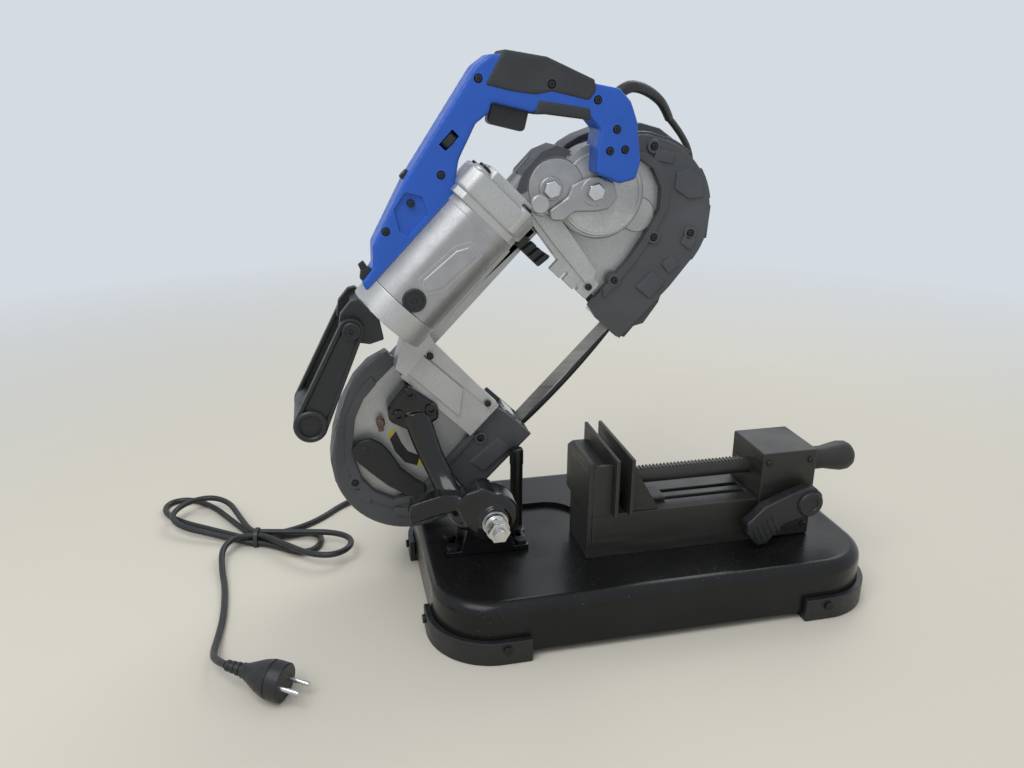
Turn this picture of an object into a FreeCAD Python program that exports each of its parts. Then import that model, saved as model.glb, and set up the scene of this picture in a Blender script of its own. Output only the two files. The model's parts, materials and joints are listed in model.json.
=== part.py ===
import FreeCAD, Part
import math
import os
import Sketcher
from FreeCAD import Placement, Rotation, Vector

# Portable band saw on its hinged bench stand.
# The stand lies along X, the saw tilts about a bolt parallel to Y, and Z is up.
# The origin is the middle of the base, on the table. All sizes are in millimetres.

doc = FreeCAD.newDocument("band_saw")
sheet = doc.addObject("Spreadsheet::Sheet", "Sizes")
nodes = []


class Size:
    """A dimension with its value and the expression that it comes from."""

    def __init__(self, value, text):
        self.value = value
        self.text = text

    def __add__(self, other):
        other = as_size(other)
        return Size(self.value + other.value, "(%s + %s)" % (self.text, other.text))

    def __sub__(self, other):
        other = as_size(other)
        return Size(self.value - other.value, "(%s - %s)" % (self.text, other.text))

    def __mul__(self, other):
        other = as_size(other)
        return Size(self.value * other.value, "(%s * %s)" % (self.text, other.text))

    def __truediv__(self, other):
        other = as_size(other)
        return Size(self.value / other.value, "(%s / %s)" % (self.text, other.text))

    def __radd__(self, other):
        return as_size(other) + self

    def __rsub__(self, other):
        return as_size(other) - self

    def __rmul__(self, other):
        return as_size(other) * self

    def __neg__(self):
        return as_size(-1.0) * self


def as_size(amount):
    if isinstance(amount, Size):
        return amount
    return Size(float(amount), repr(float(amount)))


def number(amount):
    return as_size(amount).value


def size(alias, value):
    """Write one driving dimension into the sheet and return it."""
    row = len(sheet.getUsedCells()) // 2 + 1
    sheet.set("A%d" % row, alias)
    sheet.set("B%d" % row, str(value))
    sheet.setAlias("B%d" % row, alias)
    return Size(float(value), "Sizes." + alias)


def bind(item, path, amount):
    item.setExpression(path, as_size(amount).text)


# Sketches, pads and pockets


def body(label):
    piece = doc.addObject("PartDesign::Body", label)
    piece.Label = label
    piece.AllowCompound = True
    nodes.append(piece)
    return piece


def sketch_on(piece, plane, level):
    sketch = piece.newObject("Sketcher::SketchObject", piece.Name + "_sketch")
    for feature in piece.Origin.OriginFeatures:
        if feature.Role == plane + "_Plane":
            sketch.AttachmentSupport = [(feature, "")]
    sketch.MapMode = "FlatFace"
    away = -1.0 if plane == "XZ" else 1.0
    bind(sketch, "AttachmentOffset.Base.z", away * as_size(level))
    return sketch


def pin(sketch, shape, corner, point):
    for kind, amount in (("DistanceX", point[0]), ("DistanceY", point[1])):
        made = sketch.addConstraint(Sketcher.Constraint(kind, -1, 1, shape, corner, number(amount)))
        bind(sketch, "Constraints[%d]" % made, amount)


def polygon(sketch, points):
    first = sketch.GeometryCount
    count = len(points)
    for index in range(count):
        start = points[index]
        end = points[(index + 1) % count]
        sketch.addGeometry(Part.LineSegment(
            Vector(number(start[0]), number(start[1]), 0),
            Vector(number(end[0]), number(end[1]), 0)))
    for index in range(count):
        following = first + (index + 1) % count
        sketch.addConstraint(Sketcher.Constraint("Coincident", first + index, 2, following, 1))
    for index in range(count):
        pin(sketch, first + index, 1, points[index])


class Disc:
    """A circle of an outline, by its centre and radius."""

    def __init__(self, across, up, radius):
        self.centre = (across, up)
        self.radius = radius


def circle(sketch, disc):
    centre = Vector(number(disc.centre[0]), number(disc.centre[1]), 0)
    shape = sketch.addGeometry(Part.Circle(centre, Vector(0, 0, 1), number(disc.radius)))
    pin(sketch, shape, 3, disc.centre)
    made = sketch.addConstraint(Sketcher.Constraint("Radius", shape, number(disc.radius)))
    bind(sketch, "Constraints[%d]" % made, disc.radius)


class Rounded:
    """A rectangle of an outline about the middle, with round corners."""

    def __init__(self, across, up, radius):
        self.half = (across, up)
        self.radius = radius


def rounded(sketch, outline):
    across, up = outline.half
    radius = outline.radius
    inner = (across - radius, up - radius)
    ends = [((-inner[0], -up), (inner[0], -up)), ((across, -inner[1]), (across, inner[1])),
            ((inner[0], up), (-inner[0], up)), ((-across, inner[1]), (-across, -inner[1]))]
    corners = [(inner[0], -inner[1], -90), (inner[0], inner[1], 0), (-inner[0], inner[1], 90),
               (-inner[0], -inner[1], 180)]
    first = sketch.GeometryCount
    for start, end in ends:
        sketch.addGeometry(Part.LineSegment(Vector(number(start[0]), number(start[1]), 0),
                                            Vector(number(end[0]), number(end[1]), 0)))
    for middle_x, middle_y, turn in corners:
        ring = Part.Circle(Vector(number(middle_x), number(middle_y), 0), Vector(0, 0, 1), number(radius))
        sketch.addGeometry(Part.ArcOfCircle(ring, math.radians(turn), math.radians(turn + 90)))
    for side in range(4):
        pin(sketch, first + side, 1, ends[side][0])
        pin(sketch, first + side, 2, ends[side][1])
        sketch.addConstraint(Sketcher.Constraint("Coincident", first + side, 2, first + 4 + side, 1))
        following = first + (side + 1) % 4
        sketch.addConstraint(Sketcher.Constraint("Coincident", first + 4 + side, 2, following, 1))
        made = sketch.addConstraint(Sketcher.Constraint("Radius", first + 4 + side, number(radius)))
        bind(sketch, "Constraints[%d]" % made, radius)


def profile(piece, plane, level, outlines):
    sketch = sketch_on(piece, plane, level)
    for outline in outlines:
        if isinstance(outline, Disc):
            circle(sketch, outline)
        elif isinstance(outline, Rounded):
            rounded(sketch, outline)
        else:
            polygon(sketch, outline)
    return sketch


def add(piece, plane, start, end, *outlines):
    """Pad outlines drawn on a plane from one level to a higher one."""
    level = end if plane == "XZ" else start
    pad = piece.newObject("PartDesign::Pad", piece.Name + "_pad")
    pad.Profile = profile(piece, plane, level, outlines)
    bind(pad, "Length", as_size(end) - start)
    return pad


def cut(piece, plane, start, end, *outlines):
    """Pocket outlines drawn on a plane from one level to a higher one."""
    level = start if plane == "XZ" else end
    pocket = piece.newObject("PartDesign::Pocket", piece.Name + "_pocket")
    pocket.Profile = profile(piece, plane, level, outlines)
    bind(pocket, "Length", as_size(end) - start)
    return pocket


def round_edges(piece, radius, wanted):
    """Round those edges of the piece as it stands that the test picks."""
    doc.recompute()
    tip = piece.Tip
    picked = []
    for index, edge in enumerate(tip.Shape.Edges):
        if wanted(edge):
            picked.append("Edge%d" % (index + 1))
    fillet = piece.newObject("PartDesign::Fillet", piece.Name + "_round")
    fillet.Base = (tip, picked)
    bind(fillet, "Radius", radius)


def level_at(height):
    def wanted(edge):
        box = edge.BoundBox
        return abs(box.ZMin - number(height)) + abs(box.ZMax - number(height)) < 0.01
    return wanted


def block(left, right, low, high):
    return [(left, low), (right, low), (right, high), (left, high)]


def hexagon(across, up, radius):
    points = []
    for corner in range(6):
        turn = math.radians(60 * corner)
        points.append((across + radius * math.cos(turn), up + radius * math.sin(turn)))
    return points


# Tubes along straight runs joined by tangent arcs


def tube_path(points, share=0.45):
    """A wire along the points whose corners are arcs as large as the runs allow."""
    edges = []
    radii = []
    here = points[0]
    for index in range(1, len(points) - 1):
        corner = points[index]
        back = points[index - 1] - corner
        ahead = points[index + 1] - corner
        turn = math.pi - back.getAngle(ahead)
        reach = share * min(back.Length, ahead.Length)
        radii.append(reach / math.tan(turn / 2))
        back.normalize()
        ahead.normalize()
        start = corner + back * reach
        end = corner + ahead * reach
        centre_way = back + ahead
        centre_way.normalize()
        centre = corner + centre_way * (reach / math.cos((math.pi - turn) / 2))
        middle = centre - centre_way * radii[-1]
        edges.append(Part.LineSegment(here, start).toShape())
        edges.append(Part.Arc(start, middle, end).toShape())
        here = end
    edges.append(Part.LineSegment(here, points[-1]).toShape())
    return Part.Wire(edges), radii


def tube(wire, radius):
    """A round tube swept along a wire, compared with its section times its length."""
    first = wire.OrderedEdges[0]
    start = first.valueAt(first.FirstParameter)
    heading = first.tangentAt(first.FirstParameter)
    ring = Part.Wire(Part.Circle(start, heading, radius).toShape())
    swept = wire.makePipeShell([ring], True, False)
    wanted = math.pi * radius * radius * wire.Length
    if abs(swept.Volume / wanted - 1) > 0.02:
        raise ValueError("a tube's volume is not its section times its length")
    return swept


def arc_to(start, heading, end):
    """The arc that leaves start along heading and reaches end."""
    chord = end - start
    side = chord - heading * chord.dot(heading)
    if side.Length < 1e-6:
        return Part.LineSegment(start, end).toShape()
    side.normalize()
    radius = chord.Length ** 2 / (2 * side.dot(chord))
    centre = start + side * radius
    outward = (start - centre) + (end - centre)
    outward.normalize()
    return Part.Arc(start, centre + outward * radius, end).toShape()


def biarc(start, start_way, end, end_way):
    """Two arcs from start to end that keep both headings."""
    chord = end - start
    ways = start_way + end_way
    square = 2 * (1 - start_way.dot(end_way))
    linear = 2 * chord.dot(ways)
    root = math.sqrt(linear ** 2 + 4 * square * chord.dot(chord))
    reach = 2 * chord.dot(chord) / (linear + root)
    joint = (start + start_way * reach + end - end_way * reach) * 0.5
    return [arc_to(start, start_way, joint), arc_to(end, end_way * -1.0, joint)]


def smooth_wire(points, headings):
    edges = []
    for index in range(len(points) - 1):
        edges += biarc(points[index], headings[index], points[index + 1], headings[index + 1])
    return Part.Wire(Part.__sortEdges__(edges))


def least_gap(wire, diameter, apart):
    """The least gap of a tube to itself, on points further apart along it than a length."""
    steps = int(wire.Length / 2.5)
    spots = wire.discretize(steps)
    stride = wire.Length / (steps - 1)
    skip = int(apart / stride)
    least = 1e9
    for index in range(len(spots)):
        for other in range(index + skip, len(spots)):
            least = min(least, spots[index].distanceToPoint(spots[other]))
    return least - diameter


def feature(label, shape):
    piece = doc.addObject("Part::Feature", label)
    piece.Label = label
    piece.Shape = shape
    nodes.append(piece)
    return piece


# Driving dimensions of the stand

pan_length = size("pan_length", 465)
pan_width = size("pan_width", 273)
pan_corner = size("pan_corner", 59)
pan_bottom = size("pan_bottom", 8)
pan_top = size("pan_top", 60.7)
pan_wall = size("pan_wall", 2.5)
pan_edge = size("pan_edge", 12)
recess_depth = size("recess_depth", 5)
foot_wall = size("foot_wall", 7)
foot_height = size("foot_height", 25)
foot_reach = size("foot_reach", 95)
foot_reach_side = size("foot_reach_side", 82)
foot_gap = size("foot_gap", 0.2)
screw_radius = size("screw_radius", 2)
screw_head = size("screw_head", 4.5)
screw_head_height = size("screw_head_height", 3)
bolt_radius = size("bolt_radius", 3)
bolt_head = size("bolt_head", 6.5)
bolt_head_height = size("bolt_head_height", 5)
hole_gap = size("hole_gap", 0.2)
running_gap = size("running_gap", 0.3)
shaft_gap = size("shaft_gap", 0.05)

half_length = pan_length / 2
half_width = pan_width / 2
foot_half_length = half_length + foot_wall
foot_half_width = half_width + foot_wall
foot_corner = pan_corner + foot_wall
foot_screw_x = foot_half_length - 70
foot_screw_y = foot_half_width - 68
foot_screw_z = size("foot_screw_z", 16.5)

# Driving dimensions of the hinge

hinge_x = size("hinge_x", -168)
hinge_z = size("hinge_z", 116.5)
saw_tilt = size("saw_tilt", 46)
saw_y = size("saw_y", 24)
hinge_radius = size("hinge_radius", 6)
tower_near = size("tower_near", -39.7)
tower_far = size("tower_far", -5)
tower_top = size("tower_top", 15)
tower_half = size("tower_half", 28)
flange_half = size("flange_half", 44)
flange_wall = size("flange_wall", 6)
hub_length = size("hub_length", 36)
hub_radius = size("hub_radius", 15)
hub_flare = size("hub_flare", 26)
washer_wall = size("washer_wall", 2)
spring_length = size("spring_length", 11)
spring_radius = size("spring_radius", 9.6)
spring_wire = size("spring_wire", 1.2)
spring_turns = 3
nut_height = size("nut_height", 9)

tower_bolts = [(hinge_x + side * 36, tower_near + along * 25 + 5) for side in (-1, 1) for along in (0, 1)]

# Driving dimensions of the vise

vise_left = size("vise_left", -71)
vise_near = size("vise_near", -72)
vise_far = size("vise_far", -10)
vise_wall = size("vise_wall", 5)
bed_top = size("bed_top", 109.5)
block_left = size("block_left", 118)
block_right = size("block_right", 182)
block_top = size("block_top", 160)
jaw_near = size("jaw_near", -82)
jaw_far = size("jaw_far", 26)
jaw_top = size("jaw_top", 173)
jaw_wall = size("jaw_wall", 4)
jaw_gap = size("jaw_gap", 12)
support_top = size("support_top", 168)
support_depth = size("support_depth", 25)
gusset_wall = size("gusset_wall", 4)
rod_z = size("rod_z", 136)
rod_radius = size("rod_radius", 6.5)
knob_radius = size("knob_radius", 16)
knob_length = size("knob_length", 50)
lever_x = size("lever_x", 165)
lever_z = size("lever_z", 108)
cam_reach = size("cam_reach", 20.4)
cam_shaft_radius = size("cam_shaft_radius", 7)
slot_width = size("slot_width", 6)

vise_middle = (vise_near + vise_far) / 2
fixed_jaw_x = vise_left + support_depth
moving_jaw_x = fixed_jaw_x + jaw_wall + jaw_gap
bed_run = bed_top + 0.4
vise_bolts_at = [(x, y) for x in (vise_left + 22, block_left - 18)
                 for y in (vise_near + 13, vise_far - 13)]

# Stand


def make_base_pan():
    piece = body("base_pan")
    add(piece, "XY", pan_bottom, pan_top, Rounded(half_length, half_width, pan_corner))
    ceiling = pan_top - pan_wall
    cut(piece, "XY", pan_bottom, ceiling,
        Rounded(half_length - pan_wall, half_width - pan_wall, pan_corner - pan_wall))
    round_edges(piece, pan_edge - pan_wall, level_at(ceiling))
    round_edges(piece, pan_edge, level_at(pan_top))
    # A U-shaped dip behind the hinge, pressed into the top
    dip_left = hinge_x + 46
    dip_right = hinge_x + 82
    dip_y = 24
    dip_radius = 36
    under = ceiling - recess_depth
    wide = dip_radius + pan_wall
    add(piece, "XY", under, ceiling,
        block(dip_left - pan_wall, dip_right, dip_y - wide, dip_y + wide))
    add(piece, "XY", under, ceiling, Disc(dip_right, dip_y, wide))
    cut(piece, "XY", pan_top - recess_depth, pan_top,
        block(dip_left, dip_right, dip_y - dip_radius, dip_y + dip_radius))
    cut(piece, "XY", pan_top - recess_depth, pan_top, Disc(dip_right, dip_y, dip_radius))
    hole = screw_radius + hole_gap
    cut(piece, "XZ", -half_width - 1, half_width + 1,
        Disc(-foot_screw_x, foot_screw_z, hole), Disc(foot_screw_x, foot_screw_z, hole))
    cut(piece, "YZ", -half_length - 1, half_length + 1,
        Disc(-foot_screw_y, foot_screw_z, hole), Disc(foot_screw_y, foot_screw_z, hole))
    bolt_hole = bolt_radius + hole_gap
    cut(piece, "XY", ceiling - 1, pan_top, *[Disc(x, y, bolt_hole) for x, y in vise_bolts_at])
    cut(piece, "XY", ceiling - 1, pan_top, *[Disc(x, y, bolt_hole) for x, y in tower_bolts])


def make_corner_feet():
    piece = body("corner_feet")
    add(piece, "XY", 0, foot_height, Rounded(foot_half_length, foot_half_width, foot_corner))
    cut(piece, "XY", pan_bottom, foot_height,
        Rounded(half_length + foot_gap, half_width + foot_gap, pan_corner + foot_gap))
    open_x = foot_half_length - foot_reach
    open_y = foot_half_width - foot_reach_side
    beyond = 1
    cut(piece, "XY", 0, foot_height,
        block(-open_x, open_x, -foot_half_width - beyond, foot_half_width + beyond))
    cut(piece, "XY", 0, foot_height,
        block(-foot_half_length - beyond, foot_half_length + beyond, -open_y, open_y))
    hole = screw_radius + hole_gap
    cut(piece, "XZ", -foot_half_width - beyond, foot_half_width + beyond,
        Disc(-foot_screw_x, foot_screw_z, hole), Disc(foot_screw_x, foot_screw_z, hole))
    cut(piece, "YZ", -foot_half_length - beyond, foot_half_length + beyond,
        Disc(-foot_screw_y, foot_screw_z, hole), Disc(foot_screw_y, foot_screw_z, hole))


def make_stand_fasteners():
    piece = body("stand_fasteners")
    shank = foot_wall + pan_wall + 2
    for plane, outer, place in (("XZ", foot_half_width, foot_screw_x), ("YZ", foot_half_length, foot_screw_y)):
        heads = [Disc(side * place, foot_screw_z, screw_head) for side in (-1, 1)]
        shanks = [Disc(side * place, foot_screw_z, screw_radius) for side in (-1, 1)]
        add(piece, plane, outer, outer + screw_head_height, *heads)
        add(piece, plane, outer - shank, outer, *shanks)
        add(piece, plane, -outer - screw_head_height, -outer, *heads)
        add(piece, plane, -outer, shank - outer, *shanks)
    seat = pan_top + flange_wall
    add(piece, "XY", seat, seat + bolt_head_height, *[hexagon(x, y, bolt_head) for x, y in tower_bolts])
    add(piece, "XY", pan_top - 12, seat, *[Disc(x, y, bolt_radius) for x, y in tower_bolts])
    ceiling = pan_top - pan_wall
    flange_top = pan_top + vise_wall
    heads = [hexagon(x, y, bolt_head) for x, y in vise_bolts_at]
    add(piece, "XY", ceiling - bolt_head_height, ceiling, *heads)
    add(piece, "XY", ceiling, flange_top, *[Disc(x, y, bolt_radius) for x, y in vise_bolts_at])
    add(piece, "XY", flange_top, flange_top + bolt_head_height, *heads)


def make_hinge_tower():
    piece = body("hinge_tower")
    flange_top = pan_top + flange_wall
    add(piece, "XY", pan_top, flange_top,
        block(hinge_x - flange_half, hinge_x + flange_half, tower_near, tower_far))
    add(piece, "XZ", tower_near, tower_far, [
        (hinge_x - tower_half, pan_top), (hinge_x + tower_half, pan_top),
        (hinge_x + tower_half, flange_top), (hinge_x + tower_top, hinge_z),
        (hinge_x - tower_top, hinge_z), (hinge_x - tower_half, flange_top)])
    add(piece, "XZ", tower_near, tower_far, Disc(hinge_x, hinge_z, tower_top))
    cut(piece, "XZ", tower_near, tower_far, Disc(hinge_x, hinge_z, hinge_radius + shaft_gap))
    cut(piece, "XY", pan_top, flange_top,
        *[Disc(x, y, bolt_radius + hole_gap) for x, y in tower_bolts])


hub_near = tower_near - running_gap - hub_length
washer_near = hub_near - running_gap - washer_wall
spring_near = washer_near - spring_length
nut_near = spring_near - nut_height
bolt_end = nut_near - 6


def make_hinge_hardware():
    bolt = body("hinge_bolt")
    add(bolt, "XZ", bolt_end, tower_far, Disc(hinge_x, hinge_z, hinge_radius))
    add(bolt, "XZ", tower_far, tower_far + 7, hexagon(hinge_x, hinge_z, 10))
    nut = body("hinge_nut")
    add(nut, "XZ", nut_near, spring_near, hexagon(hinge_x, hinge_z, 11))
    add(nut, "XZ", spring_near - 2, spring_near, Disc(hinge_x, hinge_z, spring_radius + 2))
    cut(nut, "XZ", nut_near, spring_near, Disc(hinge_x, hinge_z, hinge_radius + shaft_gap))
    add(nut, "XZ", washer_near, washer_near + washer_wall,
        Disc(hinge_x, hinge_z, spring_radius + 3.4), Disc(hinge_x, hinge_z, hinge_radius + hole_gap))


def make_hinge_spring():
    radius = spring_radius.value
    wire_radius = spring_wire.value
    low = spring_near.value + wire_radius + 0.1
    high = washer_near.value - wire_radius - 0.1
    climb = (high - low) / (2 * math.pi * spring_turns)
    points = []
    headings = []
    for step in range(4 * spring_turns + 1):
        turn = step * math.pi / 2
        points.append(Vector(hinge_x.value + radius * math.cos(turn), low + climb * turn,
                             hinge_z.value + radius * math.sin(turn)))
        heading = Vector(-radius * math.sin(turn), climb, radius * math.cos(turn))
        headings.append(heading.normalize())
    wire = smooth_wire(points, headings)
    print("hinge spring gap to itself", round(least_gap(wire, 2 * wire_radius, 4 * wire_radius * math.pi), 2))
    feature("hinge_spring", tube(wire, wire_radius))


def make_stop_post():
    post_x = hinge_x + 41
    post_y = 8.5
    cap_top = hinge_z + 43.4
    cap_low = cap_top - 18
    post = body("stop_post")
    add(post, "XY", pan_top, cap_low, Disc(post_x, post_y, 5))
    add(post, "XY", pan_top, pan_top + 6, hexagon(post_x, post_y, 10))
    add(post, "XY", cap_low, cap_top, Disc(post_x, post_y, 6.5))


# Vise


def make_vise_channel():
    piece = body("vise_channel")
    lip = 20
    near_inner = vise_near + vise_wall
    far_inner = vise_far - vise_wall
    flange_top = pan_top + vise_wall
    add(piece, "YZ", vise_left + vise_wall, block_left, [
        (vise_near, pan_top), (vise_near + lip, pan_top), (vise_near + lip, flange_top),
        (near_inner, flange_top), (near_inner, bed_top - vise_wall), (far_inner, bed_top - vise_wall),
        (far_inner, flange_top), (vise_far - lip, flange_top), (vise_far - lip, pan_top),
        (vise_far, pan_top), (vise_far, bed_top), (vise_near, bed_top)])
    for side in (-1, 1):
        middle = vise_middle + side * 8
        cut(piece, "XY", bed_top - vise_wall, bed_top,
            block(moving_jaw_x - jaw_gap, block_left - 4, middle - slot_width / 2, middle + slot_width / 2))
    cut(piece, "XY", pan_top, flange_top,
        *[Disc(x, y, bolt_radius + hole_gap) for x, y in vise_bolts_at])


def make_fixed_jaw():
    support = body("fixed_jaw")
    add(support, "YZ", vise_left, vise_left + vise_wall, block(vise_near, vise_far, pan_top, support_top))
    brace = [(vise_left + vise_wall, bed_top), (fixed_jaw_x, bed_top), (vise_left + vise_wall, support_top)]
    add(support, "XZ", vise_near, vise_near + gusset_wall, brace)
    add(support, "XZ", vise_far - gusset_wall, vise_far, brace)
    add(support, "YZ", fixed_jaw_x, fixed_jaw_x + jaw_wall, block(jaw_near, jaw_far, bed_top, jaw_top))


gusset_length = size("gusset_length", 32)
rod_start = moving_jaw_x + jaw_wall + 10
rod_end = block_right + 15


def make_moving_jaw():
    piece = body("moving_jaw")
    back = moving_jaw_x + jaw_wall
    add(piece, "YZ", moving_jaw_x, back, block(jaw_near, jaw_far, bed_run, jaw_top))
    brace = [(back, bed_run), (back + gusset_length, bed_run), (back, jaw_top - 8)]
    add(piece, "XZ", vise_near, vise_near + gusset_wall, brace)
    add(piece, "XZ", vise_far - gusset_wall, vise_far, brace)
    add(piece, "XY", bed_run, bed_run + 4, block(back, back + 46, vise_middle - 14, vise_middle + 14))
    lug = slot_width / 2 - running_gap
    for side in (-1, 1):
        middle = vise_middle + side * 8
        add(piece, "XY", bed_top - vise_wall - 2, bed_run, block(back, back + 40, middle - lug, middle + lug))
    add(piece, "YZ", back, rod_start, Disc(vise_middle, rod_z, 11))


def make_push_rod():
    knob = body("push_rod")
    add(knob, "YZ", rod_start - rod_end, 0, Disc(0, 0, rod_radius))
    sketch = sketch_on(knob, "XZ", 0)
    polygon(sketch, [
        (0, 0), (knob_length, 0), (knob_length - 1, knob_radius * 0.45), (knob_length - 5, knob_radius * 0.82),
        (knob_length - 12, knob_radius), (knob_length - 22, knob_radius * 0.97), (16, knob_radius * 0.68),
        (0, knob_radius * 0.62)])
    turned = knob.newObject("PartDesign::Revolution", "push_rod_knob")
    turned.Profile = sketch
    turned.ReferenceAxis = (sketch, ["H_Axis"])
    turned.Angle = 360
    knob.Placement = Placement(Vector(rod_end.value, vise_middle.value, rod_z.value), Rotation())
    bind(knob, "Placement.Base.x", rod_end)
    bind(knob, "Placement.Base.y", vise_middle)
    bind(knob, "Placement.Base.z", rod_z)


def make_vise_block():
    piece = body("vise_block")
    near = vise_near - 1
    far = vise_far + 4
    add(piece, "XZ", near, far, [
        (block_left, pan_top), (block_right, pan_top), (block_right, block_top - 14),
        (block_right - 14, block_top), (block_left + 18, block_top), (block_left, block_top - 20)])
    cut(piece, "XY", pan_top, rod_z + rod_radius + 4,
        block(block_left + vise_wall, block_right - vise_wall, near + vise_wall, far - vise_wall))
    cut(piece, "YZ", block_left, block_right, Disc(vise_middle, rod_z, rod_radius + 0.1))
    cut(piece, "XZ", near, far, Disc(lever_x, lever_z, cam_shaft_radius + 0.1))


def make_clamp_lever():
    near = vise_near - 1
    hub_back = near - 1
    hub_front = hub_back - 23
    lever = body("clamp_lever")
    add(lever, "XZ", hub_front, hub_back, Disc(lever_x, lever_z, 12))
    arm = [(0, 11), (-18, 18), (-43, 4), (-58, -24), (-63, -38), (-54, -44), (-45, -32), (-31, -9),
           (-15, 1), (0, -11)]
    add(lever, "XZ", hub_front + 3, hub_back - 7, [(lever_x + x, lever_z + z) for x, z in arm])
    add(lever, "XZ", hub_back, vise_far + 2, Disc(lever_x, lever_z, cam_shaft_radius))
    # The cam that jams the rod lies on its side while the lever is down
    add(lever, "XZ", vise_middle - 7, vise_middle + 7, [
        (lever_x - cam_reach, lever_z - 4), (lever_x, lever_z - 9), (lever_x, lever_z + 9),
        (lever_x - cam_reach, lever_z + 4)])


# Driving dimensions of the saw, in its own frame: along the blade, away from the near side, up from the blade

wheel_spacing = size("wheel_spacing", 345)
idler_s = size("idler_s", -25)
wheel_t = size("wheel_t", 74)
wheel_radius = size("wheel_radius", 68.5)
tyre_wall = size("tyre_wall", 2.5)
wheel_front = size("wheel_front", 18)
wheel_width = size("wheel_width", 20)
blade_width = size("blade_width", 12.7)
blade_wall = size("blade_wall", 0.65)
deck_wall = size("deck_wall", 7)
deck_radius = size("deck_radius", 74.5)
spine_rise = size("spine_rise", 79)
crown_rise = size("crown_rise", 90)
guard_radius = size("guard_radius", 80.5)
idler_guard_radius = size("idler_guard_radius", 80.5)
guard_wall = size("guard_wall", 4)
guard_lip = size("guard_lip", 6)
guard_depth = size("guard_depth", 51)
cover_wall = size("cover_wall", 3)
motor_t = size("motor_t", 200)
motor_y = size("motor_y", -31)
motor_radius = size("motor_radius", 40)
motor_wall = size("motor_wall", 4)
motor_left = size("motor_left", 76)
cap_length = size("cap_length", 24)
barrel_right = size("barrel_right", 207)
head_right = size("head_right", 246)
head_radius = size("head_radius", 44)
throat_left = size("throat_left", 80)
throat_right = size("throat_right", 218)
case_depth = size("case_depth", 25)
case_wall = size("case_wall", 4)
plate_wall = size("plate_wall", 1.5)
small_s = size("small_s", 278)
small_t = size("small_t", 165)
small_radius = size("small_radius", 30)
large_s = size("large_s", 306.6)
large_t = size("large_t", 130.3)
large_radius = size("large_radius", 43)
handle_width = size("handle_width", 36)

drive_s = idler_s + wheel_spacing
tyre_radius = wheel_radius + tyre_wall
blade_radius = tyre_radius + running_gap
blade_y = wheel_front + wheel_width / 2
wheel_back = wheel_front + wheel_width
barrel_left = motor_left + cap_length
handle_near = motor_y - handle_width / 2
handle_far = motor_y + handle_width / 2
case_front = -case_depth
guard_screws_at = [(drive_s + 56, wheel_t + 39), (drive_s - 5, wheel_t - 27), (drive_s - 64, wheel_t - 28),
                   (drive_s + 25, wheel_t - 54), (idler_s - 55, wheel_t + 29), (idler_s - 25, wheel_t - 32),
                   (idler_s + 65, wheel_t - 40), (idler_s - 35, wheel_t - 54)]


def on_saw(piece):
    """Stand a piece of the saw on the hinge, at the saw's resting tilt."""
    piece.Placement = Placement(Vector(hinge_x.value, saw_y.value, hinge_z.value),
                                Rotation(Vector(0, -1, 0), saw_tilt.value))
    bind(piece, "Placement.Base.x", hinge_x)
    bind(piece, "Placement.Base.y", saw_y)
    bind(piece, "Placement.Base.z", hinge_z)
    bind(piece, "Placement.Rotation.Angle", saw_tilt)
    return piece


def saw_body(label):
    return on_saw(body(label))


def make_frame():
    piece = saw_body("frame")
    low = wheel_t - deck_radius
    high = wheel_t + spine_rise
    add(piece, "XZ", 0, deck_wall, Disc(idler_s, wheel_t, deck_radius))
    add(piece, "XZ", 0, deck_wall, block(idler_s, throat_left - 4, low, high))
    add(piece, "XZ", 0, deck_wall, Disc(drive_s, wheel_t, deck_radius))
    add(piece, "XZ", 0, deck_wall, [
        (throat_right, low), (drive_s, low), (drive_s, high), (throat_right + 38, high)])
    # The spine under the motor joins both ends
    add(piece, "XZ", 0, deck_wall, block(throat_left - 10, throat_right + 44, high - 15, high + 4))
    # Raised rails along both edges of the throat
    add(piece, "XZ", -18, 0, [
        (throat_left - 44, wheel_t - 27), (throat_left, wheel_t - 27),
        (throat_left + 3, wheel_t + 76), (throat_left - 42, wheel_t + 73)])
    add(piece, "XZ", -16, 0, [
        (throat_right + 4, wheel_t - 17), (throat_right + 23.5, wheel_t - 17),
        (throat_right + 38, wheel_t + 58), (throat_right + 30, wheel_t + 82), (throat_right + 20, wheel_t + 82)])
    # The seat that closes the gear case from behind
    for shape in gear_case_outline():
        add(piece, "XZ", -plate_wall, 0, shape)
    # The boss that the handle's front leg is screwed to
    add(piece, "XZ", handle_far, 0, Disc(drive_s + 32, wheel_t + 78, 6.5))
    cut(piece, "XZ", 0, deck_wall, Disc(drive_s, wheel_t, bearing_radius + shaft_gap))
    cut(piece, "XZ", -plate_wall, deck_wall, Disc(large_s, large_t, layshaft_radius + 0.1))
    cut(piece, "XZ", 0, deck_wall, Disc(tension_s, tension_t, tension_pin + 0.1))
    cut(piece, "XZ", 0, deck_wall, *[Disc(s, t, screw_radius + hole_gap) for s, t in guard_screws_at])


# Front handle sizes

bail_s = size("bail_s", 52)
bail_t = size("bail_t", 226)
bail_grip_radius = size("bail_grip_radius", 15)
bail_width = size("bail_width", 62)
bail_tip = (-94, -32)
bail_near = motor_y - bail_width / 2
bail_far = motor_y + bail_width / 2

# Gear train sizes

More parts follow.
